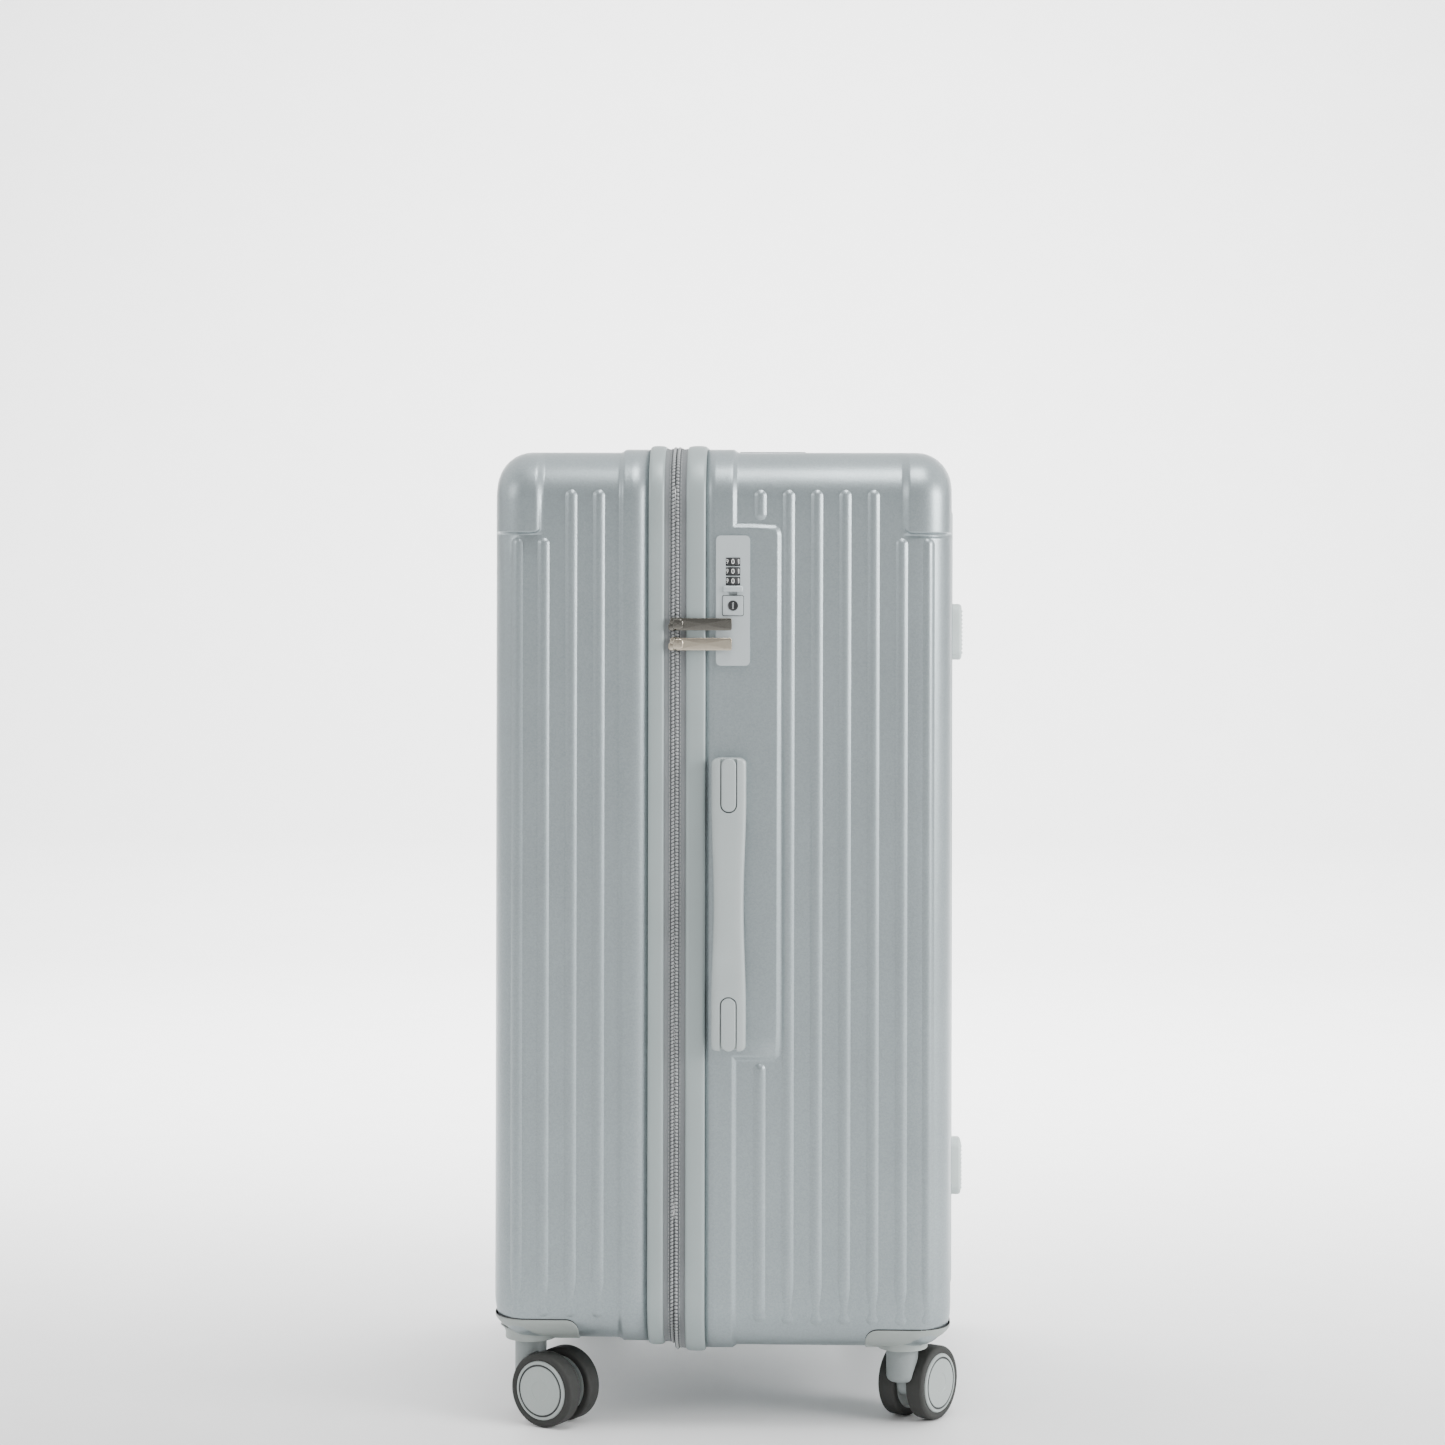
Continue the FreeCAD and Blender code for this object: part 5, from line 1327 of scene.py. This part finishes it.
@dataclass
class Housing(Half):
    """The moulding over one lower corner: a thin skirt, its dark joint and the round boss."""

    side: int
    span: float = 71.0
    rise: float = 1.15
    joint: float = 1.0
    boss_radius: float = 20.8
    turn_down: float = 11.0

    @property
    def prefix(self) -> str:
        """Name of this corner."""
        return f"{self.name}_{'near' if self.side == NEAR else 'far'}"

    def level(self, path: Array, z: Array, rise: Array) -> Array:
        """The case's level outline round the corner.

        At each height both walls stand where their lower edges' quarter circles put them;
        between them runs a quarter circle of the upright edge's radius.

        Args:
            path: 0 to 1 round the corner; the middle third is the quarter circle.
            z: height of each point.
            rise: how far each point stands out of the wall.

        Returns:
            The points.
        """
        c, low = self.case, self.case.low(self.half_side)

        def wall(reach: float, radius: float) -> Array:
            """How far out a wall stands whose lower edge is rounded by the radius."""
            drop = np.clip(low + radius - z, 0, radius)
            return reach - radius + np.sqrt(radius**2 - drop**2) + rise * np.sqrt(1 - (drop / radius) ** 2 * 0.8)

        wall_x, wall_y = wall(c.end, c.edge_round), wall(c.half, c.outline_round)
        x0, y0 = c.end - self.span, c.half - self.span
        corner = np.minimum(c.edge_round, np.minimum(wall_x - x0, wall_y - y0) * 0.9)
        turn = np.clip((path - 1 / 3) * 3, 0, 1) * RIGHT
        first, last = path < 1 / 3, path > 2 / 3
        x = np.where(first, x0 + (wall_x - corner - x0) * path * 3,
                     np.where(last, wall_x, wall_x - corner + corner * np.sin(turn)))
        y = np.where(first, wall_y, np.where(last, wall_y - corner - (wall_y - corner - y0) * (path * 3 - 2),
                                             wall_y - corner + corner * np.cos(turn)))
        return np.stack([self.half_side * x, self.side * y, np.broadcast_to(z, x.shape)], -1)

    def skirt(self, seam: float, grow: float, rise: float) -> Array:
        """The skirt from its joint down to the case's underside, and in under it.

        The joint's height is the seam, less a quarter circle over the last stretch at each end,
        so that its line turns down there.

        Args:
            seam: height of the joint.
            grow: how much higher the surface reaches, which is 0 for the skirt itself.
            rise: how far it stands out of the skin.

        Returns:
            The points.
        """
        low, r = self.case.low(self.half_side), self.turn_down
        close = np.linspace(0, 1, 9) ** 2 / 6
        p = np.unique(np.concatenate([np.linspace(0, 1, 61), close, 1 - close]))
        edge = np.minimum(p, 1 - p)
        past = np.maximum(r - edge * 3 * (self.span - 28.0), 0)
        top = seam + grow - (r - np.sqrt(r**2 - past**2))
        t = np.array([0, 0.02, 0.06, 0.12, 0.25, 0.45, 0.65, 0.82, 0.93, 1.0])
        z = top[:, None] + (low + 0.25 - top)[:, None] * t[None]
        swell = rise * np.clip(t / 0.1, 0, 1) ** 0.5 * np.clip(edge / 0.012 + 0.1, 0, 1)[:, None]
        wall = self.level(np.broadcast_to(p[:, None], z.shape), z, swell + (0.12 if grow else 0.0))
        reach = np.array([self.case.end, self.case.half]) - self.span * 0.62
        middle = np.array([*(reach * [self.half_side, self.side]), low - rise])
        scale = np.array([0.97, 0.7, 0.3, 0.0])[None, :, None]
        inner = middle + (wall[:, -1:] - middle) * scale
        inner[..., 2] = low - rise
        return np.concatenate([wall, inner], 1)

    def underside(self, x: Array, y: Array) -> Array:
        """Height of the case's underside: a quarter circle up along X, then another along Y."""
        c = self.case
        over = np.clip(np.abs(x) - (c.end - c.edge_round), 0, c.edge_round)
        up = c.edge_round - np.sqrt(c.edge_round**2 - over**2)
        r = c.outline_round - up
        past = np.clip(np.abs(y) - (c.half - c.outline_round), 0, r)
        return c.low(self.half_side) + up + r - np.sqrt(r**2 - past**2)

    def boss(self, x: float, y: float, foot: float) -> Array:
        """The round boss: a turned foot that flares up to the underside and stops just inside it."""
        seat, r = Seat((x, y, foot), (1, 0, 0), (0, 1, 0), (0, 0, 1)), self.boss_radius
        radii = np.array([0, 4.5, 11, 12, 13, r - 1.2, r - 0.3, r, r, r + 0.6, r + 2.0, r + 4.0, 0])
        lift = np.array([1.5, 1.5, 1.5, 0.4, 0.0, 0.0, 0.3, 1.2, 5.0, 7.5, 9.5, 11.0, 13.0])
        turned = lathe(seat, radii, lift, 72)
        turned[..., 2] = np.minimum(turned[..., 2], self.underside(turned[..., 0], turned[..., 1]) + 0.5)
        return turned

    def build(self) -> None:
        """Make the skirt, the joint under it and the boss."""
        box = self.case.box(self.prefix + "_housing")
        (x, y, _), _ = self.case.joint(self.prefix + "_swivel")
        seam, foot = box.high[2], box.low[2]
        inside = np.array([x * 0.7, y * 0.7, seam + 20.0])
        work = Mesher(self.prefix + "_housing_skirt", self.case)
        work.grid(self.skirt(seam, 0.0, self.rise), inside=inside)
        work.grid(self.skirt(seam, self.joint, 0.0), inside=inside, tag=1)
        work.grid(self.boss(x, y, foot))
        work.make(FITTING, DARK_JOINT_AND_SHADE, body=self.body, replaces=(self.prefix + "_housing",), sharp=45)


@dataclass
class Casters:
    """The four casters."""

    case: Case

    def build(self) -> None:
        """Make the wheels and the housings, and dress forks and axles."""
        for half in Part:
            for side in Side:
                housing = Housing(self.case, half, side)
                for letter in "ab":
                    Wheel(self.case, housing.prefix, letter).build()
                dress(housing.prefix + "_fork", FORK)
                dress(housing.prefix + "_axle", STEEL)
                housing.build()


# ---------------------------------------------------------------- feet, inside and telescopic handle

@dataclass
class Feet:
    """The four ribbed feet that the case lies on."""

    case: Case
    across: float = 26.0
    tall: float = 46.0
    rise: float = 8.8
    rib_pitch: float = 3.4
    rib_pairs: int = 5
    places: tuple[tuple[float, float], ...] = ((-150, 206), (150, 206), (-150, 647), (150, 647))

    def build(self) -> None:
        """Each foot is a rounded block under a row of fine level ribs."""
        work = Mesher("rear_feet_ribbed", self.case)
        for y, z in self.places:
            seat = Seat((self.case.end, y, z), (0, 1, 0), (0, 0, 1), (1, 0, 0))
            work.grid(slab(seat, self.across, self.tall, -2.0, self.rise - 0.9, 8.0, 2.6, 0.3))
            for k in range(-self.rib_pairs, self.rib_pairs + 1):
                work.grid(slab(seat.moved(b=k * self.rib_pitch), self.across - 7.0, 1.7, self.rise - 2.0,
                               self.rise - 0.05, 0.8, 0.6, rings=2))
        work.make(FOOT, body="rear_half", replaces=("rear_feet",), sharp=50)


@dataclass
class Lining(Half):
    """The cloth lining of one half, cut out round the cups in the top."""

    windows: tuple[Window, ...] = ()
    gap: float = 3.5
    pucker: float = 0.45
    tall: float = 0.95

    def points(self) -> Array:
        """The outline drawn in by the gap, carried from the seam to the end face and closed.

        Soft puckers run along it: a product of two slow sines, less than a millimetre high.

        Returns:
            The points.
        """
        c, h = self.case, self.half_side
        across = tuple(b for window in self.windows for b in window[3:])
        along = tuple(a for window in self.windows for a in window[1:3])
        loop = c.loop(h, across, coarse=14.0, turns=12)
        run = near_steps(along, *sorted((self.seam("lining"), h * (c.end - c.edge_round))), 10.0)[::h]
        x, _, inset, scale = c.wrap(h, run, turns=8, rings=12, gap=self.gap)
        wave = np.sin(loop.run()[:, None] / 37.0) * np.sin(x / 19.0)[None]
        pucker = self.pucker * (1 + wave) * np.minimum(1, scale * 4)[None]
        ring = c.carry(loop, h, inset[None] + pucker, scale)
        xs = np.broadcast_to(x, ring.shape[:2]) - h * pucker * (np.abs(x) > c.end - 8)
        return np.concatenate([xs[..., None], ring], -1)

    def build(self) -> None:
        points = self.points()
        work = Mesher(self.name + "_lining_cloth", self.case)
        work.grid(points, inside=self.case.core(self.half_side * 60.0), keep=self.case.uncut(points, self.windows, 8.0))
        cloth = work.make(LINING, body=self.body, replaces=(self.name + "_lining",), wall=0.8, sharp=70)
        area, wide = surface(cloth), 0.55
        while wide * self.tall < area:
            wide += 0.05


@dataclass
class Inside:
    """What the opened case shows: tube cover, crossed straps, a buckle and the hinge cloth."""

    case: Case
    cover_x: float = 122.0
    cover_half: float = 96.0
    cloth_high: float = 0.66
    strap_wide: float = 25.0
    strap_foot: tuple[float, float] = (195.0, 190.0)
    strap_run: tuple[float, float] = (390.0, 480.0)
    strap_x: float = 112.0
    hinge_half: float = 13.0
    hinge_high: float = 330.0
    hinge_inset: float = 6.4

    def cover(self) -> None:
        """The cloth cover over the tubes: a flat-topped ridge that eases down at both sides."""
        box = self.case.box("tube_cover")
        v, z = np.linspace(-1, 1, 41)[None], np.linspace(box.low[2] + 1.0, box.high[2] - 1.0, 60)[:, None]
        side = smooth_step((1 - np.abs(v)) * 2 - 0.32, 0.3)
        back = self.case.end - 6.0
        drift = 0.48 * np.sin(z / 31.0) * np.sin(math.pi * (v + 1) * 1.5) * side
        x = np.maximum(back - (back - self.cover_x) * side + drift + 0.8, self.cover_x + 0.4)
        grid = np.stack(np.broadcast_arrays(x, self.cover_half * v, z), -1)
        work = Mesher("tube_cover_cloth", self.case).grid(grid, inside=self.case.core(400.0))
        cloth = work.make(LINING, body="rear_half", replaces=("tube_cover",), wall=1.2, sharp=70)

    def straps(self) -> None:
        """Two crossed straps: flat webbing from corner to corner, bent back at both ends."""
        work = Mesher("packing_straps", self.case)
        t, v = np.linspace(0, 1, 41)[:, None], np.linspace(-0.5, 0.5, 5)[None] * self.strap_wide
        (y0, z0), (run_y, run_z) = self.strap_foot, self.strap_run
        length = math.hypot(run_y, run_z)
        for side in Side:
            x = self.strap_x + 60 * np.abs(2 * t - 1) ** 6 + (1.3 if side == FAR else 0)
            y = side * (run_y * t - y0) - side * v * run_z / length
            grid = np.stack(np.broadcast_arrays(x, y, z0 + run_z * t + v * run_y / length), -1)
            work.grid(grid, inside=self.case.core(400.0))
        work.make(WEBBING, body="rear_half", wall=1.1, sharp=70)
        seat = Seat((self.strap_x - 3.5, 0.0, 430.0), (0, 1, 0), (0, 0, 1), (-1, 0, 0))
        buckle = Mesher("strap_buckle", self.case).grid(slab(seat, 36.0, 58.0, -2.0, 5.5, 9.0, 2.6, 0.8))
        buckle.grid(slab(seat.moved(n=5.0), 16.0, 20.0, 0.0, 2.2, 4.0, 0.9))
        buckle.make(BUCKLE, body="rear_half", sharp=50)

    def hinge(self) -> None:
        """The cloth strip that joins both halves inside the far side.

        It is flat, with a slow ripple along its height.
        """
        place, _ = self.case.joint("lid_hinge")
        v, z = np.linspace(-1, 1, 25)[None], place[2] + np.linspace(-1, 1, 67)[:, None] * self.hinge_high
        ripple = 0.3 * np.sin(z / 23.0) * (1 - v**2)
        grid = np.stack(np.broadcast_arrays(self.case.zip_x + self.hinge_half * v,
                                            self.case.half - self.hinge_inset - ripple, z), -1)
        work = Mesher("hinge_cloth", self.case).grid(grid, inside=self.case.core() + [0, 1e4, 0])
        cloth = work.make(LINING, body="rear_half", wall=0.8, sharp=70)
        cloth.parent = None
        del cloth["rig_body"]
        start, end = self.case.put(grid[33, [-1, 0]])
        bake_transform(cloth)

    def build(self) -> None:
        """Make everything inside."""
        self.cover()
        self.straps()
        self.hinge()


@dataclass
class Trolley:
    """The telescopic handle: the cup, tubes, bar and push button, which keep their own shapes."""

    finishes: tuple[tuple[str, Finish], ...] = (
        ("trolley_outer_tubes", TUBE), ("trolley_mid_tubes", TUBE), ("trolley_inner_tubes", TUBE),
        ("trolley_grip", GRIP), ("trolley_button", CUP), ("trolley_bezel", CUP), ("top_handle_bases", CUP))

    def build(self) -> None:
        """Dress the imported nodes."""
        for node, finish in self.finishes:
            dress(node, finish)


# ---------------------------------------------------------------- studio

@dataclass
class Studio:
    """Floor, lights and camera."""

    case: Case
    azimuth: float = 2.0
    distance: float = 2800.0
    height: float = 715.0
    roll: float = -0.11
    lens: float = 86.4
    shift: tuple[float, float] = (0.0, -0.12)

    def floor(self) -> None:
        """A level floor that rises softly far behind."""
        u = np.linspace(-30000, 30000, 41)
        v = np.concatenate([np.linspace(-30000, 5000, 36), np.linspace(5050, 7000, 40)])
        rise = 4200 * smooth_step((v - 5200) / 1500, 1.0)
        grid = np.stack(np.broadcast_arrays(u[:, None], v[None], rise[None] - 0.2), -1)
        floor = Mesher("studio_floor", self.case).grid(grid, inside=np.array([0.0, 0.0, -1e5]))
        floor = floor.make(FLOOR, body="rear_half", sharp=80)
        floor.parent = None
        del floor["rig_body"]

    def lamp(self, name: str, place: tuple[float, float, float], size: float, power: float,
             target: tuple[float, float, float] = (0.0, 0.0, 0.42)) -> None:
        """A square soft light that looks at its target.

        Args:
            name: the light's name.
            place: where it stands, in metres.
            size: its side, in metres.
            power: its strength.
            target: where it looks, in metres.
        """
        data = bpy.data.lights.new(name, "AREA")
        data.shape, data.size, data.energy = "SQUARE", size, power
        thing = bpy.data.objects.new(name, data)
        bpy.context.scene.collection.objects.link(thing)
        thing.location = place
        thing.rotation_mode = "QUATERNION"
        thing.rotation_quaternion = (Vector(target) - Vector(place)).to_track_quat("-Z", "Y")

    def sky(self) -> None:
        """A white surround: bright behind the case and above, dimmer in front of it.

        The strength is read from the Y of the direction, through a soft ramp.
        """
        world = bpy.data.worlds.new("soft_sky")
        bpy.context.scene.world = world
        world.use_nodes = True
        tree = world.node_tree
        back = tree.nodes["Background"]
        back.inputs["Color"].default_value = (1, 1, 1, 1)
        coord = tree.nodes.new("ShaderNodeTexCoord")
        split = tree.nodes.new("ShaderNodeSeparateXYZ")
        tree.links.new(coord.outputs["Generated"], split.inputs["Vector"])
        ramp = tree.nodes.new("ShaderNodeMapRange")
        ramp.interpolation_type = "SMOOTHSTEP"
        ramp.inputs["From Min"].default_value, ramp.inputs["From Max"].default_value = -0.95, 0.35
        ramp.inputs["To Min"].default_value, ramp.inputs["To Max"].default_value = 0.5, 1.7
        tree.links.new(split.outputs["Y"], ramp.inputs["Value"])
        tree.links.new(ramp.outputs["Result"], back.inputs["Strength"])

    def build(self) -> None:
        """Make the floor, the lights, the sky and the camera."""
        self.floor()
        self.lamp("right_light", (2.2, -1.2, 1.1), 1.0, 58)
        self.lamp("left_light", (-2.2, -1.5, 1.6), 0.9, 12)
        self.lamp("top_light", (0.4, -1.0, 2.6), 0.9, 34)
        self.lamp("back_light", (0.0, 1.6, 2.8), 3.0, 620, (0.0, 5.2, 0.3))
        self.sky()
        data = bpy.data.cameras.new("camera")
        data.sensor_width, data.lens = 36.0, self.lens
        data.shift_x, data.shift_y = self.shift
        data.clip_start, data.clip_end = 0.05, 50
        camera = bpy.data.objects.new("camera", data)
        bpy.context.scene.collection.objects.link(camera)
        bpy.context.scene.camera = camera
        turn = math.radians(self.azimuth)
        back = self.distance * np.array([math.sin(turn), -math.cos(turn), 0.0])
        camera.location = self.case.put(np.array([0.0, -self.case.half, self.height]) + back)
        camera.rotation_euler = (RIGHT, math.radians(self.roll), turn)


def openings(case: Case) -> tuple[Window, tuple[Window, ...]]:
    """Where the rear shell is open: behind the lock plate, and over the two cups in its top.

    Returns:
        The lock's window, and the windows of the cups.
    """
    plate, lock_lap, cup_lap = case.box("lock_plate"), 3.0, 2.5
    cups = []
    for node in ("top_handle_bases", "trolley_bezel"):
        low, high = case.box(node).low + cup_lap, case.box(node).high - cup_lap
        cups.append((FAR, low[0], high[0], low[1], high[1]))
    low, high = plate.low + lock_lap, plate.high - lock_lap
    return (NEAR, low[0], high[0], low[2], high[2]), tuple(cups)


def main() -> None:
    """Build every sub-assembly in turn."""
    logging.basicConfig(level=logging.INFO, format="%(name)s: %(message)s")
    bpy.context.view_layer.update()
    case = Case.from_model()
    log.info("case: middle %.1f %.1f, end %.1f, half %.1f, top %.1f", case.middle_x, case.middle_y, case.end,
             case.half, case.high)
    lock_window, cups = openings(case)
    side = Seat((6.0, -(case.half + 2.5), 429.5), (1, 0, 0), (0, 0, 1), (0, -1, 0))
    top = Seat((38.5, 0.0, case.high - 16.0), (1, 0, 0), (0, 1, 0), (0, 0, 1))
    pieces = [
        ("rear shell", Shell(case, REAR, band_edge=10.0, windows=(lock_window, *cups))),
        ("front shell", Shell(case, FRONT, band_edge=-82.0)),
        ("rear zip edge", ZipEdge(case, REAR)),
        ("front zip edge", ZipEdge(case, FRONT)),
        ("side handle", Handle(case, "side_handle", side)),
        ("top handle", Handle(case, "top_handle", top, end_half=13.4)),
        ("lock", Lock(case)),
        ("upper slider", Pull(case, "high", DARK_CHROME)),
        ("lower slider", Pull(case, "low", CHAMPAGNE)),
        ("casters", Casters(case)),
        ("feet", Feet(case)),
        ("rear lining", Lining(case, REAR, cups)),
        ("front lining", Lining(case, FRONT)),
        ("inside", Inside(case)),
        ("telescopic handle", Trolley()),
        ("studio", Studio(case)),
    ]
    for label, piece in pieces:
        piece.build()
        log.info("%s made", label)
    bpy.context.view_layer.update()


if __name__ == "__main__":
    main()
